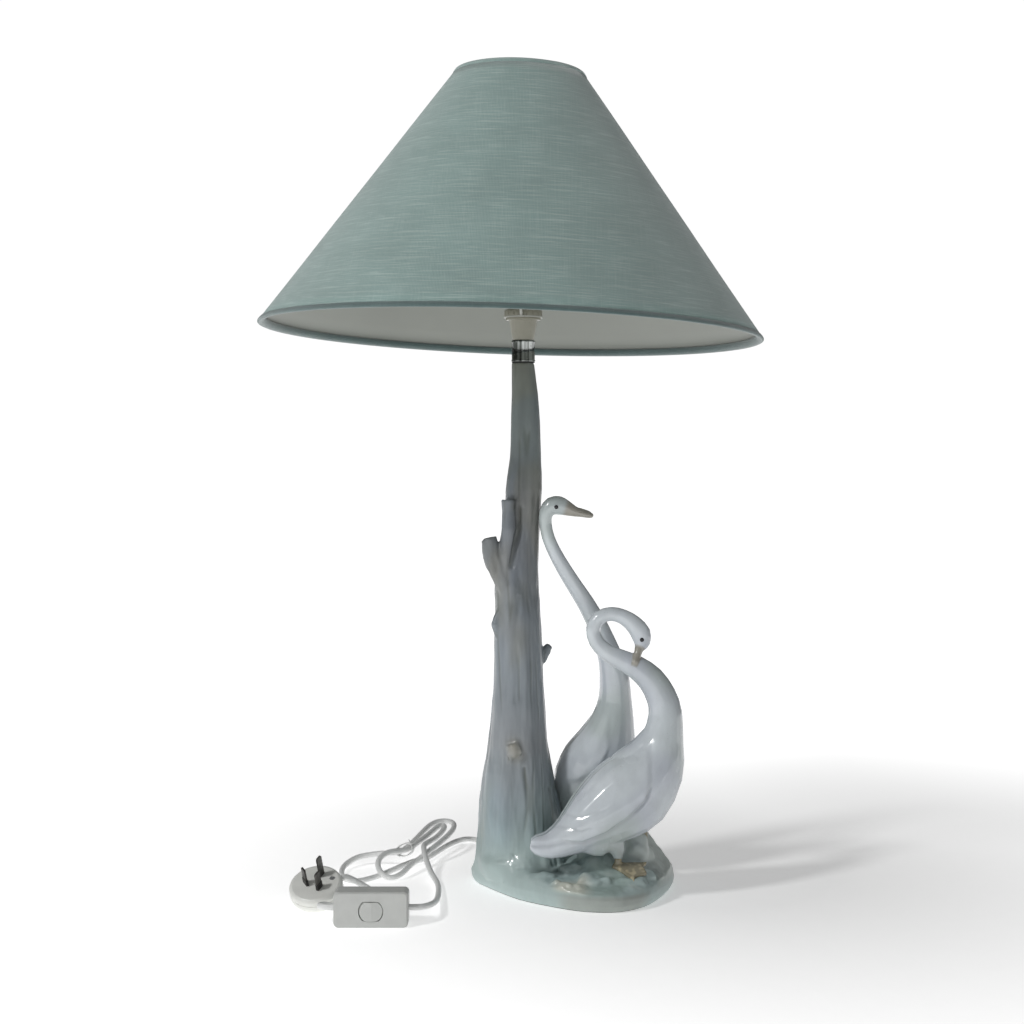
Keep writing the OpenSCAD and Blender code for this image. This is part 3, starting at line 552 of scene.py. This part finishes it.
def grass():
    """Short blades against the foot of the trunk and under the tail of the front goose."""
    pieces = []
    rng = np.random.default_rng(4)
    for k in range(26):
        a = math.radians(-118 + 86 * k / 25)
        reach = 34 + 6 * rng.random()
        foot = Vector(((2 + reach * math.cos(a)) * MM, (6 + reach * math.sin(a)) * MM, 0))
        foot.z = ground_height(foot.x, foot.y) - 2 * MM
        lean = Vector((-0.30 * math.cos(a) + 0.3 * (rng.random() - 0.5), -0.30 * math.sin(a), 1))
        height = (11 + 12 * rng.random()) * MM
        line = [foot, foot + 0.5 * height * lean, foot + height * lean]
        pieces.append(tube("blade", line, [2.4 * MM, 1.9 * MM, 0.8 * MM], 10))
    return pieces


def soften(piece, weight, passes):
    """Relaxes the skin where the weight is high, one pass a repeat."""
    group = piece.vertex_groups.new(name="soften")
    for level in range(1, 11):
        chosen = np.nonzero(np.round(weight * 10) == level)[0]
        group.add(chosen.tolist(), level / 10, "REPLACE")
    smooth = piece.modifiers.new("soften", "SMOOTH")
    smooth.factor = 0.5
    smooth.iterations = passes
    smooth.vertex_group = group.name
    bake_modifiers(piece)
    piece.vertex_groups.clear()


def foot_fill():
    """Rounds the underside of the trunk's foot down on to the ground."""
    line = [Vector((-1, 8, 6)) * MM, Vector((-0.5, 9, 14)) * MM, Vector((0, 10, 26)) * MM]
    return [tube("foot_fill", line, [36 * MM, 41 * MM, 44 * MM], 48, 0.86)]


def near_line(points, line):
    """Distance of each point from a line of points."""
    best = np.full(len(points), 1e9)
    for a, b in zip(line[:-1], line[1:]):
        a, b = np.array(a), np.array(b)
        t = np.clip(((points - a) @ (b - a)) / ((b - a) @ (b - a)), 0, 1)
        best = np.minimum(best, np.linalg.norm(points - a - t[:, None] * (b - a), axis=1))
    return best


CREASES = (
    # half width, depth, then the line itself
    (3.0, 2.6, ((-3, -17, 340), (-3.5, -17, 322), (-7, -19, 305), (-10.5, -20, 290))),
    (1.8, 1.6, ((-14, -27, 122), (-13, -29, 106), (-14, -31, 88))),
    (1.8, 1.4, ((-4, -22, 262), (-7, -23, 236), (-6, -23, 205), (-8, -24, 170))),
    (2.2, 1.8, ((9, -24, 150), (13, -25, 118), (17, -27, 84), (20, -30, 52))),
    (1.5, 1.2, ((4, -19, 300), (5, -20, 262), (6, -22, 226))),
    (1.6, 1.2, ((1, -26, 112), (3, -29, 80), (2, -32, 56))),
    (2.0, 1.6, ((24, -14, 92), (29, -18, 62), (35, -20, 44))),
)


def build_tree():
    added = limbs() + stones() + grass() + foot_fill()
    piece = joined("tree_and_ground", ["tree_trunk", "ground_base"], added)
    fuse(piece, TREE_VOXEL, 5)
    x, y, z = read_points(piece).T
    ledge = step(11 * MM, 16 * MM, z) * step(66 * MM, 48 * MM, z) * step(26 * MM, 4 * MM, x)
    knot = near_line(read_points(piece), [Vector((-8, -30, 131)) * MM, Vector((-8, -30, 125)) * MM])
    soften(piece, np.maximum(ledge, 0.9 * step(13 * MM, 9 * MM, knot) * 0.12), 260)
    points, normals = read_points(piece), read_normals(piece)
    x, y, z = points.T
    across = np.stack([x - np.interp(z, TRUNK_Z, TRUNK_X), y], 1)
    reach = np.linalg.norm(across, axis=1)
    outward = across / np.maximum(reach, 1e-6)[:, None]
    outside = step(-0.1, 0.3, (normals[:, :2] * outward).sum(1))
    limit = 1.6 + 0.6 * step(80 * MM, 140 * MM, z)
    near = step(0.15, -0.15, reach / np.interp(z, TRUNK_Z, TRUNK_R) - limit)
    trunk = outside * step(26 * MM, 44 * MM, z) * near
    plates = noise_field(points, (92, 92, 4))
    broken = step(-0.1, 0.25, noise_field(points + 15, (40, 40, 18)))
    bark = noise_field(points + 3, (190, 190, 26))
    grain = noise_field(points + 6, (340, 340, 60))
    flutes = noise_field(points + 9, (38, 38, 3))
    calm = 1 - 0.6 * step(400 * MM, 440 * MM, z)
    groove = np.exp(-((plates / 0.07) ** 2)) * broken
    rise = (0.40 * flutes - 0.6 * groove + 0.50 * bark + 0.42 * grain) * calm * trunk
    crease = np.zeros(len(points))
    for width, depth, line in CREASES:
        line = [Vector(p) * MM for p in line]
        cut = np.exp(-((near_line(points, line) / (width * MM)) ** 2))
        crease = np.maximum(crease, cut)
        rise -= depth * cut * outside
    ground = step(0.2, 0.6, normals[:, 2]) * (1 - trunk)
    ground *= step(60 * MM, 44 * MM, z) * step(9 * MM, 14 * MM, z)
    pebble = noise_field(points + 5, (85, 85, 85))
    rise += ground * (0.9 * pebble + 0.5 * noise_field(points + 1, (220, 220, 220)))
    write_points(piece, points + normals * (rise * MM)[:, None])
    paint_tree(piece, points, groove * trunk, bark, crease, ground, pebble)
    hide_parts("tree_trunk", "ground_base")
    return dress(piece, "bark_glaze", "lamp")


# Trunk glaze colour by height, its own tones plus painted shade darkening the top: millimetres, then red,
# green and blue.
TRUNK_TINTS_AND_SHADE = (
    (0, 184, 201, 199),
    (20, 180, 197, 195),
    (36, 166, 183, 182),
    (60, 148, 162, 163),
    (95, 142, 151, 156),
    (130, 140, 145, 149),
    (190, 131, 139, 145),
    (250, 121, 128, 133),
    (300, 112, 116, 118),
    (345, 108, 113, 115),
    (400, 112, 121, 121),
    (440, 104, 112, 111),
    (470, 98, 104, 101),
)


def paint_tree(piece, points, groove, bark, crease, ground, pebble):
    z = points[:, 2]
    n = len(points)
    heights = [row[0] * MM for row in TRUNK_TINTS_AND_SHADE]
    tints_and_shade = np.array([linear(*row[1:]) for row in TRUNK_TINTS_AND_SHADE])
    drift = 22 * MM * noise_field(points + 7, (26, 26, 12))
    # painted shade: the colour by height darkens towards the top, under the lampshade
    colour = np.stack([np.interp(z + drift, heights, tints_and_shade[:, k]) for k in range(3)], 1)
    on_trunk = step(26 * MM, 60 * MM, z)
    streak = noise_field(points + 13, (95, 95, 8))
    cool = step(0.05, 0.45, noise_field(points + 17, (40, 40, 9)))
    warm = step(0.15, 0.5, noise_field(points + 19, (30, 30, 14)))
    colour *= (1 + on_trunk * (0.16 * streak + 0.07 * bark))[:, None]
    colour = mix(colour, colour * np.array((0.97, 0.99, 1.05)), cool * on_trunk)
    colour = mix(colour, colour * np.array((1.06, 1.0, 0.90)), warm * on_trunk)
    colour = mix(colour, colour * np.array((0.72, 0.72, 0.66)), 0.8 * groove)
    # painted shade: the creases are darkened towards a dark olive
    crease_shade = np.tile(linear(72, 76, 66), (n, 1))
    colour = mix(colour, crease_shade, 0.85 * crease**2 * on_trunk)
    beige = np.tile(linear(172, 168, 154), (n, 1))
    knot = near_line(points, [Vector((-9, -29, 132)) * MM, Vector((-6, -29, 124)) * MM])
    colour = mix(colour, beige, 0.7 * np.exp(-((knot / (7 * MM)) ** 2)))
    cut_end = near_line(points, [Vector((-11, -15, 348)) * MM, Vector((-9, -17, 342)) * MM])
    dark_end = np.tile(linear(64, 68, 64), (n, 1))
    colour = mix(colour, dark_end, 0.85 * np.exp(-((cut_end / (4 * MM)) ** 2)))
    colour = paint_ground(colour, points, ground, pebble)
    store_colour(piece, "paint", np.clip(colour, 0, 1))


def paint_ground(colour, points, ground, pebble):
    x, y, z = points.T
    n = len(points)
    low = step(60 * MM, 24 * MM, z)
    right = step(26 * MM, 70 * MM, x)
    deep = np.tile(linear(156, 174, 168), (n, 1))
    stone = np.tile(linear(192, 200, 194), (n, 1))
    cream = np.tile(linear(214, 212, 196), (n, 1))
    patch = step(-0.05, 0.35, noise_field(points + 23, (42, 42, 42)))
    colour = mix(colour, deep, 0.75 * patch * right * low * step(11 * MM, 17 * MM, z))
    colour = mix(colour, stone, 0.55 * step(0.1, 0.5, pebble) * ground * right)
    # painted light: the ground in the front goose's shadow is lightened to offset that shadow
    painted_light_in_goose_shadow = step(64 * MM, 90 * MM, x) * step(-56 * MM, -20 * MM, y) * step(8 * MM, 22 * MM, z)
    colour = mix(colour, np.tile(linear(226, 234, 229), (n, 1)), 0.8 * painted_light_in_goose_shadow)
    front = step(-52 * MM, -66 * MM, y) * step(20 * MM, 32 * MM, x) * step(62 * MM, 46 * MM, x)
    colour = mix(colour, cream, 0.7 * front * step(13 * MM, 18 * MM, z))
    rim = step(-60 * MM, -78 * MM, y) * step(16 * MM, 12 * MM, z) * step(20 * MM, 40 * MM, x)
    colour = mix(colour, np.tile(linear(166, 166, 158), (n, 1)), 0.6 * rim)
    # painted shade: the hollow under the front goose's tail is darkened
    under_tail = [Vector((16, -37, 24)) * MM, Vector((34, -36, 25)) * MM]
    painted_shade_under_tail = np.exp(-((near_line(points, under_tail) / (8 * MM)) ** 2))
    return mix(colour, np.tile(linear(58, 70, 67), (n, 1)), 0.75 * painted_shade_under_tail * low)


# Porcelain: geese

TALL = {
    "node": "tall_goose",
    "eyes_at": (29.1, 341.5),
    "bill": ((37, -8, 341.5), (63, -8, 333.5)),
    "bill_reach": (10, 8),
    "wing_back": 30,
    "wing_edge": ((20, 84), (32, 92), (45, 95), (60, 101), (68, 109), (76, 124)),
    "wing_front": 77,
    "trough": 0.3,
    "edge": 2.6,
    "extras": (("bill", ((49, -8, 337.4), (54, -8, 336), (58.6, -8, 334.8)), (3.7, 3.5, 3.1)),),
}
PREENING = {
    "node": "preening_goose",
    "eyes_at": (102.9, 226.9),
    "bill": ((101.5, -37, 220), (96.2, -46, 205.5)),
    "bill_reach": (4.8, 2.4),
    "wing_back": -6,
    "wing_edge": ((0, 52), (20, 54), (33, 58), (50, 57.5), (69.5, 65), (89, 79), (103, 92), (110, 108)),
    "wing_front": 109,
    "trough": 0.9,
    "edge": 1.0,
    "extras": (
        (
            "bill",
            ((101.5, -37, 221), (99.5, -40, 214), (97.5, -44, 209), (96.6, -46, 206.5)),
            (4.6, 3.4, 2.6, 1.9),
        ),
        (
            "shoulder",
            ((78, -38, 107.5), (91, -38, 116.5), (104.5, -37, 126), (112, -36, 134), (119, -36, 143)),
            (12, 15, 15, 15, 14),
        ),
    ),
}


def raise_wings(points, normals, goose):
    """Lifts the folded wings off the body: a crease along the lower edge and faint feather rows. Also returns
    how far to darken the crease and rows, as painted shade.
    """
    x, z = points[:, 0], points[:, 2]
    xs = [p[0] * MM for p in goose["wing_edge"]]
    zs = [p[1] * MM for p in goose["wing_edge"]]
    above = z - np.interp(x, xs, zs)
    front = goose["wing_front"] * MM
    inside = step(front + 2 * MM, front - 4 * MM, x) * step(zs[-1] + 45 * MM, zs[-1] + 10 * MM, z)
    back = goose["wing_back"] * MM
    inside *= step(back, back + 14 * MM, x)
    side = step(0.05, 0.35, np.abs(normals[:, 1]))
    edge = goose["edge"] * MM
    wing = step(-edge, 1.6 * edge, above) * inside * side
    trough = np.exp(-(((above + 1.6 * edge) / (2.4 * edge)) ** 2)) * inside * side
    rows = np.zeros(len(points))
    for row in (10, 20):
        curve = above - row * MM * step(0, 60 * MM, front - x + 20 * MM)
        rows = np.maximum(rows, np.exp(-((curve / (1.3 * MM)) ** 2)))
    rows *= inside * side * step(front - 25 * MM, front - 50 * MM, x)
    rise = (1.0 + 0.8 * goose["trough"]) * wing - goose["trough"] * trough - 0.35 * rows
    return points + normals * (rise * MM)[:, None], np.clip(goose["trough"] * trough + 0.35 * rows, 0, 1)


def build_goose(goose):
    node = goose["node"]
    extras = [tube(name, [Vector(p) * MM for p in line], [r * MM for r in radii])
              for name, line, radii in goose["extras"]]
    piece = joined(node + "_glazed", [node], extras)
    fuse(piece, GOOSE_VOXEL, 6)
    points, trough = raise_wings(read_points(piece), read_normals(piece), goose)
    write_points(piece, points)
    z = points[:, 2]
    n = len(points)
    white = np.tile(linear(210, 217, 222), (n, 1))
    lilac = np.tile(linear(190, 196, 206), (n, 1))
    green = np.tile(linear(186, 197, 194), (n, 1))
    colour = mix(white, lilac, 0.8 * step(-0.2, 0.5, noise_field(points, (24, 24, 24))))
    colour = mix(colour, green, 0.7 * step(0.0, 0.5, noise_field(points + 4, (20, 20, 20))))
    # painted shade: upper bodies and necks darken from 110 mm up under the lampshade, and the wing creases
    # and feather rows darken
    colour *= (1 - 0.10 * step(110 * MM, 200 * MM, z) - 0.16 * trough)[:, None]
    colour = paint_bill(colour, points, goose)
    store_colour(piece, "paint", np.clip(colour, 0, 1))
    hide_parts(node)
    return dress(piece, "glaze", "lamp")


def paint_bill(colour, points, goose):
    start, end = (np.array(p) * MM for p in goose["bill"])
    ahead = (end - start) / np.linalg.norm(end - start)
    past = (points - start) @ ahead
    side = np.linalg.norm(points - start - past[:, None] * ahead, axis=1)
    length = np.linalg.norm(end - start)
    reach = np.interp(past, (0, length), goose["bill_reach"]) * MM
    mask = step(-2 * MM, 3 * MM, past) * step(reach + 1.2 * MM, reach, side)
    mask *= step(length + 2 * MM, length, past)
    horn = np.tile(linear(152, 149, 140), (len(points), 1))
    return mix(colour, horn, mask)


def build_eyes(geese):
    """Low black domes laid on the sides of the heads."""
    profile = [(0, -0.6), (1.9, -0.6), (1.85, 0.1), (1.4, 0.5), (0.8, 0.72), (0, 0.8)]
    domes = []
    for goose, body in geese:
        bm = bmesh.new()
        bm.from_mesh(body.data)
        tree = BVHTree.FromBMesh(bm)
        bm.free()
        x, z = (c * MM for c in goose["eyes_at"])
        for side in (-1, 1):
            hit, normal = tree.ray_cast(Vector((x, side * 0.2, z)), Vector((0, -side, 0)))[:2]
            turn = UP.rotation_difference(normal).to_matrix().to_4x4()
            scaled = [(r * MM, h * MM) for r, h in profile]
            domes.append(spun("eye", scaled, 24, Matrix.Translation(hit) @ turn))
    piece = joined("goose_eyes", [], domes)
    return dress(piece, "eye_black", "lamp")


def build_feet(name, nodes, body="lamp"):
    """Webbed feet, three toes with skin between them: the CAD legs fused into one skin and painted tan with
    paler ridges.
    """
    piece = joined(name, nodes)
    fuse(piece, 0.8 * MM, 4)
    points = read_points(piece)
    n = len(points)
    tan = np.tile(linear(150, 142, 118), (n, 1))
    gold = np.tile(linear(196, 184, 150), (n, 1))
    ridge = step(0.0, 0.5, noise_field(points, (260, 260, 60)))
    store_colour(piece, "paint", mix(tan, gold, ridge))
    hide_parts(*nodes)
    return dress(piece, "glaze", body)


def build_springs():
    """The springs under the contact plungers, which shorten as the contacts are pressed in."""
    piece = joined("plunger_coils", ["plunger_springs"])
    weld(piece)
    bake_modifiers(piece)
    dress(piece, "steel", "plungers")
    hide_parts("plunger_springs")
    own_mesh(piece)


# Shade


class Cone:
    """The shade's own cone: its place, and points on it from slope, angle and height above it."""

    def __init__(self):
        top = sum(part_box("shade_top_ring"), Vector()) / 2
        bottom = sum(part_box("shade_bottom_ring"), Vector()) / 2
        turn = UP.rotation_difference(top - bottom).to_matrix().to_4x4()
        self.place = Matrix.Translation(top) @ turn
        back = self.place.inverted()
        points = np.array([back @ v.co for v in NODES["shade_fabric"].data.vertices])
        radius = np.hypot(points[:, 0], points[:, 1])
        self.low, self.high = points[:, 2].min(), points[:, 2].max()
        self.low_r = radius.max()
        self.high_r = radius[points[:, 2] > self.high - 0.5 * MM].max()
        self.slope = math.hypot(self.low_r - self.high_r, self.high - self.low)
        self.sine = (self.low_r - self.high_r) / self.slope
        self.cosine = (self.high - self.low) / self.slope

    def at(self, along, angle, above):
        """A point that far up the slope from the lower rim, at an angle, and that far off the surface."""
        radius = self.low_r - along * self.sine + above * self.cosine
        height = self.low + along * self.cosine + above * self.sine
        return self.place @ Vector((radius * math.cos(angle), radius * math.sin(angle), height))

    def flat(self, along, angle):
        """The same place on the cloth laid flat, with the front of the shade in the middle."""
        reach = self.low_r / self.sine - along
        turn = ((angle + 1.5 * math.pi) % (2 * math.pi) - math.pi) * self.sine
        return (reach * turn, reach, 0)


CONE = None


def cone_piece(name, profile, segments, ripple):
    """A closed profile of (along, above) carried round the cone, with its flat places kept."""
    points, flat, faces = [], [], []
    for k in range(segments):
        a = 2 * math.pi * k / segments
        for along, above in profile:
            push = ripple * noise.noise(Vector((3 * math.cos(a), 3 * math.sin(a), along * 12)))
            points.append(CONE.at(along, a, above + push))
            flat.append(CONE.flat(along, a))
    m = len(profile)
    for k in range(segments):
        n = (k + 1) % segments
        for j in range(m):
            i = (j + 1) % m
            faces.append((k * m + j, n * m + j, n * m + i, k * m + i))
    piece = piece_from(name, points, faces)
    store_vector(piece, "flat", np.array(flat))
    return piece


def sheet_profile(start, end, outer, inner, rows):
    up = [(start + (end - start) * i / rows, outer) for i in range(rows + 1)]
    return up + [(along, inner) for along, _ in reversed(up)]


# Sections of the bias bands: along the slope from the rim and above the cloth, in millimetres.
LOWER_HEM = (
    (3.5, 0.02), (3.4, 0.4), (2.9, 0.56), (2.0, 0.64), (0.9, 0.7), (-0.1, 0.62), (-0.8, 0.25),
    (-1.1, -0.5), (-0.9, -1.5), (0.0, -2.6), (1.4, -3.7), (3.2, -4.3), (4.9, -4.2), (6.2, -3.4),
    (6.9, -2.2), (7.1, -1.15), (4.0, -1.12), (0.1, -1.1), (-0.1, -0.5), (0.1, 0.02), (2.0, 0.02),
)
UPPER_HEM = (
    (3.5, 0.02), (3.4, 0.35), (2.8, 0.5), (2.0, 0.56), (0.9, 0.62), (-0.1, 0.6), (-0.9, 0.3),
    (-1.25, -0.35), (-1.2, -1.1), (-0.7, -1.75), (0.3, -2.1), (1.8, -2.15), (3.6, -2.0), (4.8, -1.8),
    (5.0, -1.2), (2.0, -1.2), (0.1, -1.15), (-0.1, -0.5), (0.1, 0.02), (2.6, 0.02),
)


def hem(name, upper):
    """The bias band folded round a rim: outside, under the edge and a little way up inside."""
    rim = CONE.slope if upper else 0.0
    sign = -1 if upper else 1
    section = UPPER_HEM if upper else LOWER_HEM
    profile = [(rim + sign * along * MM, above * MM) for along, above in section]
    piece = cone_piece(name, profile, 360, 0.12 * MM)
    return dress(piece, "linen" if upper else "trim", "shade")


SHEET_SEGMENTS = 288
SHEET_RIPPLE = 0.35 * MM


def build_shade():
    ends = (0.2 * MM, CONE.slope - 0.2 * MM)
    profile = sheet_profile(*ends, 0, -0.5 * MM, 22)
    cover = cone_piece("shade_cover", profile, SHEET_SEGMENTS, SHEET_RIPPLE)
    dress(cover, "linen", "shade")
    ends = (0.6 * MM, CONE.slope - 0.6 * MM)
    profile = sheet_profile(*ends, -0.6 * MM, -1.05 * MM, 12)
    liner = cone_piece("shade_liner", profile, SHEET_SEGMENTS, SHEET_RIPPLE)
    dress(liner, "white_lining", "shade")
    hem("shade_lower_hem", False)
    hem("shade_upper_hem", True)
    build_seam()
    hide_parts("shade_fabric", "shade_bottom_trim", "shade_top_trim")
    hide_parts("shade_lining")


def build_seam():
    """The overlap of the cloth up the back, where its cut ends are glued."""
    rows, half = 30, 6 * MM
    points, faces, flat = [], [], []
    for i in range(rows + 1):
        along = 4 * MM + (CONE.slope - 8 * MM) * i / rows
        radius = CONE.low_r - along * CONE.sine
        for side, above in ((-1, 0.02), (-0.85, 0.5), (0.85, 0.5), (1, 0.02), (0, -0.1)):
            angle = math.radians(96) + side * half / radius
            points.append(CONE.at(along, angle, above * MM))
            flat.append(CONE.flat(along, angle))
    for i in range(rows):
        for j in range(5):
            n = (j + 1) % 5
            faces.append((i * 5 + j, i * 5 + n, (i + 1) * 5 + n, (i + 1) * 5 + j))
    faces += [tuple(range(5)), tuple(range(rows * 5, rows * 5 + 5))]
    piece = piece_from("shade_seam", points, faces)
    store_vector(piece, "flat", np.array(flat))
    return dress(piece, "linen", "shade")


# CAD nodes that stay: rounded edges and better materials

ROUNDED = {
    "switch_base": 0.5, "switch_cover": 0.6, "switch_rocker": 0.35, "plug_base": 0.4, "plug_cover": 0.3,
    "holder_cap": 0.3, "shade_ring": 0.3, "neck_collar": 0.15, "plug_blades": 0.2, "earth_blade": 0.2,
    "carrier_seat": 0.4, "rod_nut": 0.3, "pin_sleeves": 0.15,
}
SMOOTH_WIRES = ("lamp_cord", "plug_cord", "cord_tie", "carrier_wires", "shade_spider", "core_wires")


def refine_nodes():
    for name, obj in NODES.items():
        if name in ROUNDED:
            weld(obj)
            flat = obj.modifiers.new("join_flats", "DECIMATE")
            flat.decimate_type = "DISSOLVE"
            flat.angle_limit = math.radians(0.6)
            bevel = obj.modifiers.new("soft_edges", "BEVEL")
            bevel.width = ROUNDED[name] * MM
            bevel.segments = 2
            bevel.limit_method = "ANGLE"
            bevel.angle_limit = math.radians(38)
            bevel.harden_normals = False
        if name in SMOOTH_WIRES:
            weld(obj)
            rounder = obj.modifiers.new("round_wire", "SUBSURF")
            rounder.levels = rounder.render_levels = 1


def weld(obj):
    modifier = obj.modifiers.new("weld", "WELD")
    modifier.merge_threshold = 0.01 * MM


SLOT_MATERIALS = {
    "trunk_glaze": "bark_glaze", "ground_glaze": "bark_glaze", "goose_glaze": "glaze", "leg_glaze": "glaze",
    "trim_linen": "trim",
}


def finish_nodes():
    """Gives every CAD node the material of its slot in the record."""
    for part in frame["record"]["subparts"]:
        obj = NODES[part["node"]]
        slot = "plug_plastic" if part["node"] in ("plug_cover", "plug_base") else part["material_slot"]
        obj.data.materials.clear()
        obj.data.materials.append(MATERIALS[SLOT_MATERIALS.get(slot, slot)])


# Studio


CAMERA = {"at": (-0.0101, -1.565, 0.392), "lens": 61.52, "shift_y": -0.0605}
# Strength of the world's light on the object, from its darkest to its brightest side, and where that side is.
ROOM_LIGHT = (0.80, 3.9)
ROOM_BRIGHT = (-0.80, -0.10, 0.59)
WHITE_BEHIND = 1.02
KEY = {"size": 0.26, "watts": 15.0, "at": (-1.25, -1.05, 1.45), "aim": (0, 0, 0.35)}
FLOOR_HALF = 14.0
# The floor glows less where the shadow of the lamp falls, and runs into the white room further out.
FLOOR_GLOW = {"centre": (0.16, 0.05, 0), "near": (0.12, 0.36), "far": (0.85, 1.0)}


def build_camera():
    camera = bpy.data.objects.new("camera", bpy.data.cameras.new("camera"))
    bpy.context.scene.collection.objects.link(camera)
    camera.location = CAMERA["at"]
    camera.rotation_euler = (math.radians(90), 0, 0)
    camera.data.lens = CAMERA["lens"]
    camera.data.sensor_width = 36
    camera.data.shift_y = CAMERA["shift_y"]
    bpy.context.scene.camera = camera


def build_world():
    """White to the camera; to the object, a soft room that is brightest from the upper left."""
    world = bpy.data.worlds.new("studio")
    bpy.context.scene.world = world
    world.use_nodes = True
    tree = world.node_tree
    room = tree.nodes["Background"]
    paper = tree.nodes.new("ShaderNodeBackground")
    paper.inputs["Color"].default_value = (1, 1, 1, 1)
    paper.inputs["Strength"].default_value = WHITE_BEHIND
    place = tree.nodes.new("ShaderNodeTexCoord")
    facing = tree.nodes.new("ShaderNodeVectorMath")
    facing.operation = "DOT_PRODUCT"
    facing.inputs[1].default_value = Vector(ROOM_BRIGHT).normalized()
    level = tree.nodes.new("ShaderNodeMapRange")
    level.inputs["From Min"].default_value = -0.9
    level.inputs["From Max"].default_value = 0.9
    level.inputs["To Min"].default_value = ROOM_LIGHT[0]
    level.inputs["To Max"].default_value = ROOM_LIGHT[1]
    eye = tree.nodes.new("ShaderNodeLightPath")
    mixer = tree.nodes.new("ShaderNodeMixShader")
    tree.links.new(place.outputs["Generated"], facing.inputs[0])
    tree.links.new(facing.outputs["Value"], level.inputs["Value"])
    tree.links.new(level.outputs["Result"], room.inputs["Strength"])
    tree.links.new(eye.outputs["Is Camera Ray"], mixer.inputs["Fac"])
    tree.links.new(room.outputs["Background"], mixer.inputs[1])
    tree.links.new(paper.outputs["Background"], mixer.inputs[2])
    tree.links.new(mixer.outputs["Shader"], tree.nodes["World Output"].inputs["Surface"])


def build_lights():
    key = bpy.data.objects.new("key", bpy.data.lights.new("key", "AREA"))
    key.data.shape = "DISK"
    key.data.size = KEY["size"]
    key.data.energy = KEY["watts"]
    key.location = KEY["at"]
    key.rotation_euler = (Vector(KEY["aim"]) - key.location).to_track_quat("-Z", "Y").to_euler()
    bpy.context.scene.collection.objects.link(key)


def build_floor():
    """A white paper floor, a little self-lit so that it runs into the white behind it."""
    signs = ((-1, -1), (1, -1), (1, 1), (-1, 1))
    corners = [(x * FLOOR_HALF, y * FLOOR_HALF, 0) for x, y in signs]
    floor = piece_from("floor", corners, [(0, 1, 2, 3)])
    m = Nodes("white_paper")
    grain = m.remap(m.noise(m.place((40, 40, 40)), 1, 2), 0.3, 0.7, 0.93, 0.95)
    reach = m.distance(FLOOR_GLOW["centre"])
    (near, low), (far, high) = FLOOR_GLOW["near"], FLOOR_GLOW["far"]
    m.set(Base_Color=m.blend(1.0, (1, 1, 1), grain, "MULTIPLY"), Roughness=0.9)
    m.set(Emission_Color=(1, 1, 1), Emission_Strength=m.remap(reach, near, far, low, high))
    m.set(Specular_IOR_Level=0.1)
    floor.data.materials.append(m.material)


def main():
    global CONE
    bpy.context.scene.view_settings.view_transform = "Standard"
    build_camera()
    build_world()
    build_lights()
    build_floor()
    finish_nodes()
    refine_nodes()
    build_tree()
    geese = [(goose, build_goose(goose)) for goose in (TALL, PREENING)]
    build_eyes(geese)
    build_feet("front_feet", ["front_goose_legs"])
    build_feet("rear_feet", ["rear_goose_legs"])
    build_springs()
    CONE = Cone()
    build_shade()


main()
